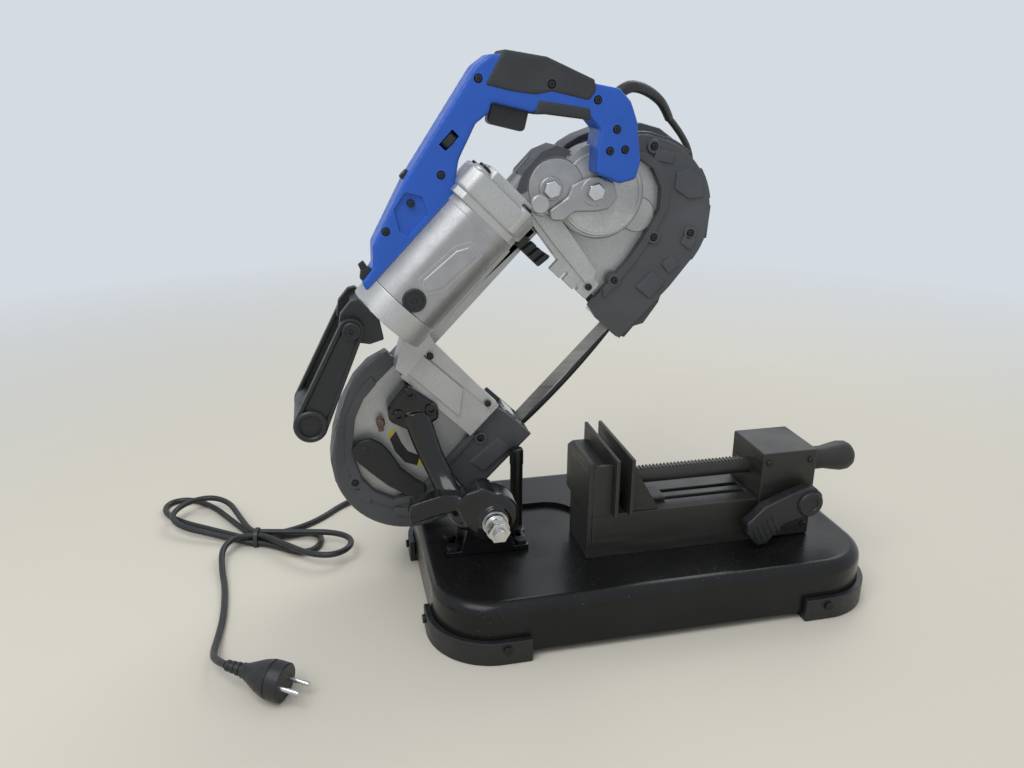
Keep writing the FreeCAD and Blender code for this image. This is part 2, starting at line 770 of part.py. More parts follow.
drive_shaft_radius = size("drive_shaft_radius", 8)
bearing_radius = size("bearing_radius", 15)
layshaft_radius = size("layshaft_radius", 6)
gear_front = size("gear_front", 8.5)
gear_width = size("gear_width", 5.5)
large_gear_radius = size("large_gear_radius", 34.4)
large_pinion_radius = size("large_pinion_radius", 14.7)
bevel_radius = size("bevel_radius", 26)
tooth_depth = size("tooth_depth", 2.2)
mesh_gap = size("mesh_gap", 0.4)
armature_shaft = size("armature_shaft", 5)
pinion_radius = size("pinion_radius", 4.7)
lay_t = motor_t - 14
lay_y = motor_y + 15.5
lay_gear_radius = size("lay_gear_radius", 15.4)
tension_s = idler_s - 25
tension_t = wheel_t + 44
tension_pin = size("tension_pin", 4)


def distance(across, up):
    return math.hypot(number(across), number(up))


def gear_case_outline():
    return [Disc(small_s, small_t, small_radius), Disc(large_s, large_t, large_radius),
            block(head_right, small_s + 6, lay_t - 12, lay_t + 12)]


def make_gear_case():
    back = -plate_wall
    case = saw_body("gear_case")
    for shape in gear_case_outline():
        add(case, "XZ", case_front, back, shape)
    inner_front = case_front + case_wall
    cut(case, "XZ", inner_front, back, Disc(small_s, small_t, small_radius - 3.2))
    cut(case, "XZ", inner_front, back, Disc(large_s, large_t, large_radius - 3.2))
    cut(case, "XZ", inner_front, back, block(head_right, small_s, lay_t - 8, lay_t + 8))
    link = saw_body("gear_link_plate")
    link_front = case_front - 4
    add(link, "XZ", link_front, case_front, Disc(small_s, small_t, 13))
    add(link, "XZ", link_front, case_front, Disc(large_s, large_t, 13))
    add(link, "XZ", link_front, case_front, [
        (small_s - 8.5, small_t - 9), (large_s - 8.5, large_t - 9), (large_s + 8.5, large_t + 9),
        (small_s + 8.5, small_t + 9)])
    bolts = saw_body("saw_bolts")
    add(bolts, "XZ", link_front - 7, link_front, hexagon(small_s, small_t, 8), hexagon(large_s, large_t, 9))
    add(bolts, "XZ", -14, -8, hexagon(idler_s + 52, wheel_t + 17, 6), hexagon(idler_s + 27, wheel_t + 51, 5.5))
    # Pivot bolts of the front handle, with large round heads
    for start, end in ((bail_near - 9, bail_near + 6), (bail_far - 6, bail_far + 9)):
        add(bolts, "XZ", start, end, Disc(bail_s, bail_t, 5))
    add(bolts, "XZ", bail_near - 13, bail_near - 9, Disc(bail_s, bail_t, 9))
    add(bolts, "XZ", bail_far + 9, bail_far + 13, Disc(bail_s, bail_t, 9))


def make_gears():
    tip = -plate_wall - 0.5
    wide = 4.2
    bevel = saw_body("bevel_gear")
    shaft_start = case_front + case_wall + running_gap
    add(bevel, "XZ", shaft_start, tip, Disc(small_s, small_t, 5))
    add(bevel, "XZ", tip - wide - 4, tip - wide - mesh_gap, Disc(small_s, small_t, bevel_radius))
    reach = distance(large_s - small_s, large_t - small_t)
    add(bevel, "XZ", tip - wide, tip, Disc(small_s, small_t, reach - large_gear_radius - mesh_gap))
    layshaft = saw_body("reduction_gear")
    add(layshaft, "XZ", shaft_start, gear_front + gear_width, Disc(large_s, large_t, layshaft_radius))
    add(layshaft, "XZ", tip - wide, tip, Disc(large_s, large_t, large_gear_radius))
    add(layshaft, "XZ", gear_front, gear_front + gear_width, Disc(large_s, large_t, large_pinion_radius))
    shaft = saw_body("drive_shaft")
    mesh = distance(drive_s - large_s, wheel_t - large_t)
    add(shaft, "XZ", -2, wheel_back + 3, Disc(drive_s, wheel_t, drive_shaft_radius))
    add(shaft, "XZ", gear_front, gear_front + gear_width,
        Disc(drive_s, wheel_t, mesh - large_pinion_radius - mesh_gap))


def make_wheel(label, across, hub, bore):
    piece = saw_body(label)
    add(piece, "XZ", wheel_front, wheel_back, Disc(across, wheel_t, wheel_radius),
        Disc(across, wheel_t, wheel_radius - 8))
    web_front = blade_y - 2
    web_back = blade_y + 2
    add(piece, "XZ", web_front, web_back, Disc(across, wheel_t, wheel_radius - 7))
    add(piece, "XZ", wheel_front - 2, wheel_back, Disc(across, wheel_t, hub))
    holes = []
    for spoke in range(5):
        turn = math.radians(72 * spoke)
        holes.append(Disc(across + 39 * math.cos(turn), wheel_t + 39 * math.sin(turn), 12))
    cut(piece, "XZ", web_front, web_back, *holes)
    cut(piece, "XZ", wheel_front - 2, wheel_back, Disc(across, wheel_t, bore))
    tyre = saw_body(label.replace("wheel", "tyre"))
    add(tyre, "XZ", wheel_front, wheel_back, Disc(across, wheel_t, tyre_radius),
        Disc(across, wheel_t, wheel_radius))


def make_idler():
    make_wheel("idler_wheel", idler_s, 17, 6.05)
    carriage = saw_body("idler_carriage")
    back = deck_wall + running_gap
    add(carriage, "XZ", back, wheel_front - 2.5, block(idler_s - 20, idler_s + 20, wheel_t - 14, wheel_t + 14))
    add(carriage, "XZ", wheel_front - 2.5, wheel_back + 2, Disc(idler_s, wheel_t, 6))


def blade_ring(place, across, up):
    """The blade's section at a place, from its half width and half thickness ways."""
    corners = []
    for one, two in ((-1, -1), (1, -1), (1, 1), (-1, 1)):
        corners.append(place + across * one + up * two)
    return Part.makePolygon(corners + [corners[0]])


def make_blade():
    half_wide = blade_width.value / 2
    half_wall = blade_wall.value / 2
    run = blade_radius.value + half_wall
    low = wheel_t.value - run
    high = wheel_t.value + run
    middle = blade_y.value
    flat_across = Vector(0, half_wide, 0)
    flat_up = Vector(0, 0, half_wall)
    # The back run and both half turns, swept round the wheels
    left = idler_s.value
    right = drive_s.value
    flat_end = 26
    around = Part.Wire([
        Part.LineSegment(Vector(right - flat_end, middle, low), Vector(right, middle, low)).toShape(),
        Part.Arc(Vector(right, middle, low), Vector(right + run, middle, wheel_t.value),
                 Vector(right, middle, high)).toShape(),
        Part.LineSegment(Vector(right, middle, high), Vector(left, middle, high)).toShape(),
        Part.Arc(Vector(left, middle, high), Vector(left - run, middle, wheel_t.value),
                 Vector(left, middle, low)).toShape(),
        Part.LineSegment(Vector(left, middle, low), Vector(left + flat_end, middle, low)).toShape()])
    ring = blade_ring(Vector(right - flat_end, middle, low), flat_across, flat_up)
    shape = around.makePipeShell([ring], True, True)
    # The guides turn the blade a quarter so that its teeth point down across the throat
    twist_left = throat_left.value - 18
    twist_right = throat_right.value + 16

    def turned(place, share):
        angle = share * math.pi / 2
        wide = Vector(0, math.cos(angle), math.sin(angle))
        thin = Vector(0, -math.sin(angle), math.cos(angle))
        return blade_ring(Vector(place, middle, low), wide * half_wide, thin * half_wall)

    steps = 6
    for begin, end in ((left + flat_end, twist_left), (right - flat_end, twist_right)):
        rings = [turned(begin + (end - begin) * step / steps, step / steps) for step in range(steps + 1)]
        shape = shape.fuse(Part.makeLoft(rings, True, True))
    flat = Part.makeBox(twist_right - twist_left, 2 * half_wall, 2 * half_wide,
                        Vector(twist_left, middle - half_wall, low - half_wide))
    shape = shape.fuse(flat)
    on_saw(feature("blade", shape.Solids[0] if len(shape.Solids) == 1 else shape))
    print("blade length", round(2 * wheel_spacing.value + 2 * math.pi * run, 1))


def make_guides():
    roller = size("roller_radius", 6)
    pin = 2.5
    low = wheel_t - blade_radius - blade_wall / 2
    top = low + blade_width / 2 + 3
    offset = roller + blade_wall / 2 + 0.15
    bracket = saw_body("blade_guides")
    for label, across in (("idler_side", throat_left - 9), ("drive_side", throat_right + 7)):
        add(bracket, "XZ", deck_wall, blade_y + offset + 5, block(across - 8, across + 8, top, top + 16))
        for side in (-1, 1):
            add(bracket, "XY", top - blade_width - 1, top, Disc(across, blade_y + side * offset, pin))
        for name, side in (("near", -1), ("far", 1)):
            rollers = saw_body("%s_roller_%s" % (label, name))
            centre = (across, blade_y + side * offset)
            add(rollers, "XY", top - blade_width - 1, top - 1, Disc(*centre, roller), Disc(*centre, pin + 0.1))


def make_guards():
    front = -guard_lip
    drive = saw_body("drive_guard")
    low = wheel_t - guard_radius
    edge = [(throat_right - 2, low), (drive_s, low), (drive_s + 30, wheel_t + 60),
            (drive_s + 14, wheel_t + crown_rise), (throat_right + 38, wheel_t + crown_rise)]
    add(drive, "XZ", front, guard_depth, Disc(drive_s, wheel_t, guard_radius))
    add(drive, "XZ", front, guard_depth, edge)
    inner = guard_radius - guard_wall
    cut(drive, "XZ", 0, guard_depth, Disc(drive_s, wheel_t, inner))
    cut(drive, "XZ", 0, guard_depth, [
        (throat_right - 20, wheel_t - inner), (drive_s, wheel_t - inner), (drive_s + 26, wheel_t + 60),
        (drive_s + 11, wheel_t + crown_rise - guard_wall), (throat_right - 20, wheel_t + crown_rise - guard_wall)])
    cut(drive, "XZ", front, 0, Disc(drive_s - 12, wheel_t + 39, 61))
    cut(drive, "XZ", front, 0, [
        (throat_right - 8, wheel_t - 19), (drive_s + 18, wheel_t - 14),
        (drive_s - 10, wheel_t + 100), (throat_right - 8, wheel_t + 100)])
    # The blade leaves the guard through a slot in its floor
    slot = blade_width / 2
    cut(drive, "XZ", blade_y - slot, blade_y + slot,
        block(throat_right - 3, throat_right + 52, low - 1, wheel_t - inner + 1))
    cover = saw_body("rear_covers")
    add(cover, "XZ", guard_depth, guard_depth + cover_wall, Disc(drive_s, wheel_t, guard_radius))
    add(cover, "XZ", guard_depth, guard_depth + cover_wall, edge)

    idler = saw_body("idler_guard")
    low = wheel_t - idler_guard_radius
    foot = block(idler_s, throat_left - 2, low, wheel_t - 30)
    crown = [(idler_s - 34, wheel_t + 40), (throat_left - 46, wheel_t + 40),
             (throat_left - 44, wheel_t + crown_rise - 4), (idler_s - 8, wheel_t + crown_rise - 4)]
    for shape in (Disc(idler_s, wheel_t, idler_guard_radius), foot, crown):
        add(idler, "XZ", front, guard_depth, shape)
    inner = idler_guard_radius - guard_wall
    cut(idler, "XZ", 0, guard_depth, Disc(idler_s, wheel_t, inner))
    cut(idler, "XZ", 0, guard_depth, [
        (idler_s, wheel_t - inner), (throat_left + 20, wheel_t - inner),
        (throat_left + 20, wheel_t + crown_rise - 4 - guard_wall),
        (idler_s - 6, wheel_t + crown_rise - 4 - guard_wall), (idler_s - 28, wheel_t + 44)])
    cut(idler, "XZ", front, 0, Disc(idler_s + 8, wheel_t + 25, 57))
    cut(idler, "XZ", front, 0, [
        (idler_s + 5, wheel_t - 30), (throat_left + 10, wheel_t - 28),
        (throat_left + 10, wheel_t + 96), (idler_s + 5, wheel_t + 82)])
    cut(idler, "XZ", blade_y - slot, blade_y + slot,
        block(throat_left - 54, throat_left + 3, low - 1, wheel_t - inner + 1))
    for shape in (Disc(idler_s, wheel_t, idler_guard_radius), foot, crown):
        add(cover, "XZ", guard_depth, guard_depth + cover_wall, shape)

    holes = [Disc(s, t, screw_radius + hole_gap) for s, t in guard_screws_at]
    cut(drive, "XZ", front, 0, *holes[:4])
    cut(idler, "XZ", front, 0, *holes[4:])
    screws = saw_body("saw_screws")
    add(screws, "XZ", front - 2, front, *[Disc(s, t, 4) for s, t in guard_screws_at])
    add(screws, "XZ", front, deck_wall - 1, *[Disc(s, t, screw_radius) for s, t in guard_screws_at])
    add(screws, "XZ", handle_near + 0.8, handle_near + 2, *[Disc(s, t, 3.2) for s, t in handle_screws_at])
    add(screws, "XZ", handle_near + 2, motor_y - 2, *[Disc(s, t, 1.6) for s, t in handle_screws_at])


def make_blade_channel():
    piece = saw_body("blade_channel")
    run = wheel_t + blade_radius
    left = throat_left - 42
    right = throat_right + 30
    back = guard_depth - 7
    add(piece, "XZ", deck_wall, back, block(left, right, run - 9.5, run + 10.5))
    cut(piece, "XZ", deck_wall, back - 3, block(left, right, run - 6, run + 7))


# Motor


def make_motor():
    housing = saw_body("motor_housing")
    spine_top = wheel_t + spine_rise + 4
    add(housing, "YZ", barrel_left, barrel_right, Disc(motor_y, motor_t, motor_radius))
    add(housing, "XZ", motor_y + 6, 0,
        block(barrel_left + 4, barrel_right - 3, spine_top - 11, motor_t - 18))
    bore = motor_radius - motor_wall
    cut(housing, "YZ", barrel_left, barrel_right, Disc(motor_y, motor_t, bore))

    cap = saw_body("motor_end_cap")
    add(cap, "YZ", motor_left, barrel_left, Disc(motor_y, motor_t, motor_radius))
    cut(cap, "YZ", motor_left + 4, barrel_left, Disc(motor_y, motor_t, bore))
    add(cap, "YZ", motor_left + 4, motor_left + 11, Disc(motor_y, motor_t, 14))
    cut(cap, "YZ", motor_left + 4, motor_left + 11, Disc(motor_y, motor_t, 11 + shaft_gap))

    head = saw_body("gear_head")
    add(head, "YZ", barrel_right, head_right, Disc(motor_y, motor_t, head_radius))
    doc.recompute()
    round_edges(head, 7, lambda edge: edge.BoundBox.XMax - edge.BoundBox.XMin < 0.01
                and abs(edge.BoundBox.XMax - head_right.value) < 0.01)
    cut(head, "YZ", barrel_right + 6, head_right - 6, Disc(motor_y, motor_t, head_radius - 6))
    cut(head, "YZ", barrel_right, barrel_right + 6, Disc(motor_y, motor_t, 11 + shaft_gap))
    cut(head, "YZ", head_right - 6, head_right, Disc(lay_y, lay_t, 4.1))

    bearings = saw_body("shaft_bearings")
    add(bearings, "XZ", 0, deck_wall, Disc(drive_s, wheel_t, bearing_radius),
        Disc(drive_s, wheel_t, drive_shaft_radius + shaft_gap))
    for start, end in ((motor_left + 4, motor_left + 11), (barrel_right, barrel_right + 6)):
        add(bearings, "YZ", start, end, Disc(motor_y, motor_t, 11),
            Disc(motor_y, motor_t, armature_shaft + shaft_gap))

    stator = saw_body("stator")
    add(stator, "YZ", barrel_left + 26, barrel_left + 80, Disc(motor_y, motor_t, bore - 0.2),
        Disc(motor_y, motor_t, bore - 11))

    armature = saw_body("armature")
    add(armature, "YZ", motor_left + 4.5, barrel_right + 8, Disc(motor_y, motor_t, armature_shaft))
    add(armature, "YZ", barrel_left + 24, barrel_left + 82, Disc(motor_y, motor_t, bore - 12))
    add(armature, "YZ", barrel_left - 8, barrel_left + 10, Disc(motor_y, motor_t, 14))
    add(armature, "YZ", barrel_left + 86, barrel_left + 96, Disc(motor_y, motor_t, bore - 3))
    add(armature, "YZ", barrel_right + 8, head_right - 14, Disc(motor_y, motor_t, pinion_radius))

    lay = saw_body("lay_shaft")
    add(lay, "YZ", barrel_right + 7, small_s - 4, Disc(lay_y, lay_t, 4))
    add(lay, "YZ", barrel_right + 10, head_right - 16, Disc(lay_y, lay_t, lay_gear_radius))
    add(lay, "YZ", small_s - 16, small_s - 6, Disc(lay_y, lay_t, 4.8))

    caps = saw_body("brush_caps")
    for near, far in ((motor_y - motor_radius - 2, motor_y - motor_radius + 6),
                      (motor_y + motor_radius - 6, motor_y + motor_radius + 2)):
        add(caps, "XZ", near, far, Disc(barrel_left + 12, motor_t, 11))
    cut(housing, "XZ", motor_y - motor_radius - 3, motor_y + motor_radius + 3,
        Disc(barrel_left + 12, motor_t, 11 + shaft_gap))


# Handle

trigger_u = (0.5145, -0.8575)
trigger_v = (0.8575, 0.5145)
trigger_s = size("trigger_s", 272)
trigger_t = size("trigger_t", 254.5)
trigger_length = size("trigger_length", 36)
trigger_depth = size("trigger_depth", 23.5)
trigger_width = size("trigger_width", 16)
trigger_travel = size("trigger_travel", 5)
handle_wall = size("handle_wall", 3.5)
dial_reach = size("dial_reach", 30)
dial_rise = size("dial_rise", 71)
dial_s = barrel_right + dial_reach
dial_t = motor_t + dial_rise
dial_radius = size("dial_radius", 8)
dial_width = size("dial_width", 7)


def on_trigger(along, inward):
    return (trigger_s + along * trigger_u[0] + inward * trigger_v[0],
            trigger_t + along * trigger_u[1] + inward * trigger_v[1])


def handle_outline():
    """The closed D of the handle, from the motor's end round the grip to the front leg."""
    base = motor_t + 28
    outline = [(motor_left + 8, base), (barrel_right + 6, base), (barrel_right + 9, motor_t + 43),
               (barrel_right + 24, motor_t + 53), (barrel_right + 57, motor_t + 63)]
    outline.append(on_trigger(-1.5, 9.5))
    outline.append(on_trigger(-1.5, 18.5))
    outline.append(on_trigger(trigger_length + 1.5, 18.5))
    leg = [(-4, 151), (22, 117), (21, 101), (8, 92), (-9, 76), (0, 52), (14, 43), (28, 51), (51, 80),
           (60, 98), (60, 114), (46, 133), (27, 181), (4, 214), (-3, 223), (-20, 226)]
    outline += [(drive_s + s, wheel_t + t) for s, t in leg]
    back = [(109, 80), (45, 63), (31, 47), (13, 46)]
    outline += [(motor_left + s, motor_t + t) for s, t in back]
    return outline


def grip_outlines():
    upper = [(1, 212), (25, 180), (43.5, 134), (39, 128), (33, 133), (11, 166), (2, 170), (-24, 205)]
    lower = [(6, 161), (31, 127), (22, 117), (-4, 151)]
    return [[(drive_s + s, wheel_t + t) for s, t in points] for points in (upper, lower)]


handle_screws_at = [(drive_s - 27, wheel_t + 214), (drive_s + 16, wheel_t + 163),
                    (drive_s + 37, wheel_t + 122), (drive_s + 32, wheel_t + 90), (drive_s + 14, wheel_t + 81), (drive_s + 25, wheel_t + 71),
                    (barrel_right + 3, motor_t + 56), (barrel_left + 39, motor_t + 59),
                    (barrel_left + 73, motor_t + 59)]


def make_handle():
    grip = saw_body("grip_pads")
    bevel = 1.5
    for label, near, far in (("handle_near_shell", handle_near, motor_y),
                             ("handle_far_shell", motor_y, handle_far)):
        piece = saw_body(label)
        is_near = label == "handle_near_shell"
        add(piece, "XZ", near, far, handle_outline())
        cut(piece, "YZ", motor_left - 1, barrel_right - 0.5, Disc(motor_y, motor_t, motor_radius + 0.2))
        cut(piece, "YZ", barrel_right - 0.5, head_right + 0.5, Disc(motor_y, motor_t, head_radius + 0.2))
        hollow = [(46, 50), (129, 50), (142, 57), (186, 68), (200, 72), (199, 82), (114, 70), (49, 56)]
        inside = [(motor_left + s, motor_t + t) for s, t in hollow]
        if is_near:
            cut(piece, "XZ", near + handle_wall, far, inside)
        else:
            cut(piece, "XZ", near, far - handle_wall, inside)
        pocket = [on_trigger(-0.4, -3.0), on_trigger(trigger_length + 0.4, -3.0),
                  on_trigger(trigger_length + 0.4, trigger_depth + trigger_travel + 0.8),
                  on_trigger(-0.4, trigger_depth + trigger_travel + 0.8)]
        side = trigger_width / 2 + 0.4
        if is_near:
            cut(piece, "XZ", motor_y - side, motor_y, pocket)
        else:
            cut(piece, "XZ", motor_y, motor_y + side, pocket)
        # Rubber pads let into both sides of the grip
        if is_near:
            cut(piece, "XZ", near, near + bevel, *grip_outlines())
            add(grip, "XZ", near - 1, near + bevel, *grip_outlines())
            cut(piece, "XZ", near, near + 2, *[Disc(s, t, 3.4) for s, t in handle_screws_at])
            cut(piece, "XZ", near, far, *[Disc(s, t, 1.8) for s, t in handle_screws_at])
            window = block(dial_s - dial_radius - 0.8, dial_s + dial_radius + 0.8,
                           dial_t - dial_width / 2 - 0.5, dial_t + dial_width / 2 + 0.5)
            cut(piece, "XZ", near, near + handle_wall + 1, window)
        else:
            cut(piece, "XZ", far - bevel, far, *grip_outlines())
            add(grip, "XZ", far - bevel, far + 1, *grip_outlines())
            cut(piece, "XZ", case_front - running_gap, far, Disc(large_s, large_t, large_radius + 0.4))
            cut(piece, "XZ", near, far, Disc(large_s, large_t, 13.4))
    cut(grip, "XZ", handle_near - 1, handle_near + bevel, Disc(*handle_screws_at[1], 3.6),
        Disc(*handle_screws_at[2], 3.6))
    trigger = saw_body("trigger")
    add(trigger, "XZ", motor_y - trigger_width / 2, motor_y + trigger_width / 2, [
        on_trigger(0, 2.5), on_trigger(3, 0), on_trigger(trigger_length - 3, 0),
        on_trigger(trigger_length, 2.5), on_trigger(trigger_length, trigger_depth),
        on_trigger(0, trigger_depth)])
    dial = saw_body("speed_dial")
    add(dial, "XY", dial_t - dial_width / 2, dial_t + dial_width / 2,
        Disc(dial_s, handle_near + dial_radius - 2, dial_radius))


# Arm, tension lever and front handle

arm_route = [(0, -82, 0), (-26, -82, 18), (-20, -39, 47), (-5, -24, 80), (19, -19, 113)]
arm_radius = size("arm_radius", 11)


def make_arm():
    points = [Vector(s, y, t) for s, y, t in arm_route]
    wire, radii = tube_path(points)
    bar = tube(wire, arm_radius.value)
    hub_start = hub_near.value - saw_y.value
    turn = Vector(0, 1, 0)
    hub = Part.makeCone(hub_radius.value, hub_flare.value, hub_length.value, Vector(0, hub_start, 0), turn)
    seat_start = points[-1].y - 6
    seat = Part.makeCylinder(14, -8 - seat_start, Vector(points[-1].x, seat_start, points[-1].z), turn)
    bore = Part.makeCylinder(hinge_radius.value + 0.1, 2 * hub_length.value,
                             Vector(0, hub_start - 10, 0), turn)
    trim = Part.makeBox(80, 20, 80, Vector(points[-1].x - 40, -8, points[-1].z - 40))
    on_saw(feature("mount_arm", bar.fuse([hub, seat]).cut(bore).cut(trim).removeSplitter()))
    bracket = saw_body("arm_bracket")
    add(bracket, "XZ", -8, 0, [
        (idler_s + 21, wheel_t + 16), (idler_s + 37, wheel_t + 7), (idler_s + 59, wheel_t + 10),
        (idler_s + 59, wheel_t + 56), (idler_s + 51, wheel_t + 60), (idler_s + 21, wheel_t + 60)])


def make_tension_lever():
    piece = saw_body("tension_lever")
    crescent = [(-8, 4), (2, 9), (10, 0), (6, -18), (8, -34), (16, -52), (30, -66), (24, -72), (6, -68),
                (-6, -52), (-11, -30), (-11, -12)]
    add(piece, "XZ", -13, -8.2, [(tension_s + s, tension_t + t) for s, t in crescent])
    add(piece, "XZ", -8.2, deck_wall + 1, Disc(tension_s, tension_t, tension_pin))




def make_bail():
    near = bail_near
    far = bail_far
    bracket = saw_body("bail_bracket")
    add(bracket, "XZ", near + 4, far - 4, block(motor_left - 8, motor_left, motor_t - 22, motor_t + 38))
    for start in (near, far - 6):
        add(bracket, "XZ", start, start + 6, [
            (bail_s - 4, bail_t - 9), (motor_left, motor_t - 10), (motor_left, motor_t + 40),
            (bail_s + 4, bail_t + 9)])
        add(bracket, "XZ", start, start + 6, Disc(bail_s, bail_t, 10))
    cut(bracket, "XZ", near, far, Disc(bail_s, bail_t, 5.1))
    handle = saw_body("bail_handle")
    tip_s = bail_s + bail_tip[0]
    tip_t = bail_t + bail_tip[1]
    length = math.hypot(*bail_tip)
    side = (-bail_tip[1] / length, bail_tip[0] / length)
    arm = [(bail_s + side[0] * 10, bail_t + side[1] * 10), (tip_s + side[0] * 14, tip_t + side[1] * 14),
           (tip_s - side[0] * 14, tip_t - side[1] * 14), (bail_s - side[0] * 10, bail_t - side[1] * 10)]
    for start in (near - 8.5, far + 0.5):
        add(handle, "XZ", start, start + 8, arm)
        add(handle, "XZ", start, start + 8, Disc(bail_s, bail_t, 11))
        add(handle, "XZ", start, start + 8, Disc(tip_s, tip_t, bail_grip_radius))
    add(handle, "XZ", near - 0.5, far + 0.5, Disc(tip_s, tip_t, bail_grip_radius))
    cut(handle, "XZ", near - 8.5, far + 8.5, Disc(tip_s, tip_t, bail_grip_radius - 4.5))
    cut(handle, "XZ", near - 8.5, far + 8.5, Disc(bail_s, bail_t, 5.1))


# Cord, tie and plug

cord_radius = size("cord_radius", 3.5)
cord_route = [
    (33, 40, 488.5), (61, 60, 474), (84, 84, 449), (93, 103, 416), (87, 112, 376), (67, 114, 334),
    (38, 114, 292), (8, 113, 252), (-26, 112, 212), (-60, 112, 176), (-95, 114, 141), (-130, 124, 107),
    (-166, 146, 73), (-203, 178, 42), (-243, 212, 18), (-281, 231, 6), (-312, 214, 3.8), (-336, 185, 3.7),
    (-361, 166, 3.7), (-386, 155.5, 4.4)]
relief_route = [(380, -31, 180), (395, -31, 180), (406, -14, 168), (409, 4, 140)]


def saw_point(s, y, t):
    turn = math.radians(saw_tilt.value)
    return Vector(hinge_x.value + s * math.cos(turn) - t * math.sin(turn), saw_y.value + y,
                  hinge_z.value + s * math.sin(turn) + t * math.cos(turn))


tie_x = size("tie_x", -414)
tie_y = size("tie_y", 143)
tie_heading = 170
strand_low = size("strand_low", 5.2)
strand_rise = size("strand_rise", 7.9)
strand_pitch = size("strand_pitch", 8)
tie_half = 8
strands = [(-1, 0), (0, 0), (1, 0), (-0.5, 1), (0.5, 1)]
# Each loop: heading, length, width and which side it leaves on, and how far it lifts off the table
loops = [(132, 164, 50, -1, -1.6), (-13, 70, 46, 1, -1.6), (132, 128, 72, 1, 7), (-32, 118, 52, 1, 4)]
tail_route = [(-441, 135, 14.6), (-452, 116, 12), (-450, 84, 5), (-443, 44, 3.6), (-440, -8, 3.6),
              (-442, -46, 4.5), (-443, -76, 10), (-439, -100, 18), (-426, -118.1, 24.2)]
plug_heading = -29.35
plug_dip = 5.9
plug_roll = 76.9
plug_radius = size("plug_radius", 18)
plug_length = size("plug_length", 60)
plug_pin_length = size("plug_pin_length", 19)
plug_pin_radius = size("plug_pin_radius", 2.4)
plug_pin_spacing = size("plug_pin_spacing", 19)


def heading_way(degrees):
    return Vector(math.cos(math.radians(degrees)), math.sin(math.radians(degrees)), 0)


def strand_spot(index, along):
    """A point of one strand in the tied bundle, at a distance along the bundle."""
    way = heading_way(tie_heading)
    across = heading_way(tie_heading + 90)
    column, layer = strands[index]
    spot = Vector(tie_x.value, tie_y.value, strand_low.value + layer * strand_rise.value)
    return spot + across * (column * strand_pitch.value) + way * along


def hank_points():
    """Points and headings along the hank: five passes through the tie with four loops between them."""
    left = heading_way(tie_heading)
    points = []
    headings = []
    for index in range(5):
        leftward = index % 2 == 0
        way = left if leftward else left * -1.0
        side = tie_half if leftward else -tie_half
        for along in (-side, side):
            points.append(strand_spot(index, along))
            headings.append(way)
        if index == 4:
            break
        degrees, length, width, turn, lift = loops[index]
        out = heading_way(degrees)
        across = heading_way(degrees + 90)
        start = points[-1]
        end = strand_spot(index + 1, side)
        steps = 10
        for step in range(2, steps - 1):
            angle = 2 * math.pi * step / steps
            swell = (1 - math.cos(angle)) / 2
            wide = turn * width / 2 * 1.54 * math.sin(angle) * swell
            base = start + (end - start) * (step / steps)
            points.append(base + out * (length * swell) + across * wide + Vector(0, 0, lift * swell))
            along_rate = length * math.sin(angle) / 2
            wide_rate = turn * width / 2 * 1.54 * (math.cos(angle) * swell + math.sin(angle) ** 2 / 2)
            lift_rate = lift * math.sin(angle) / 2
            drift = (end - start) * (1 / (2 * math.pi))
            rate = drift + out * along_rate + across * wide_rate + Vector(0, 0, lift_rate)
            headings.append(rate.normalize())
    return points, headings


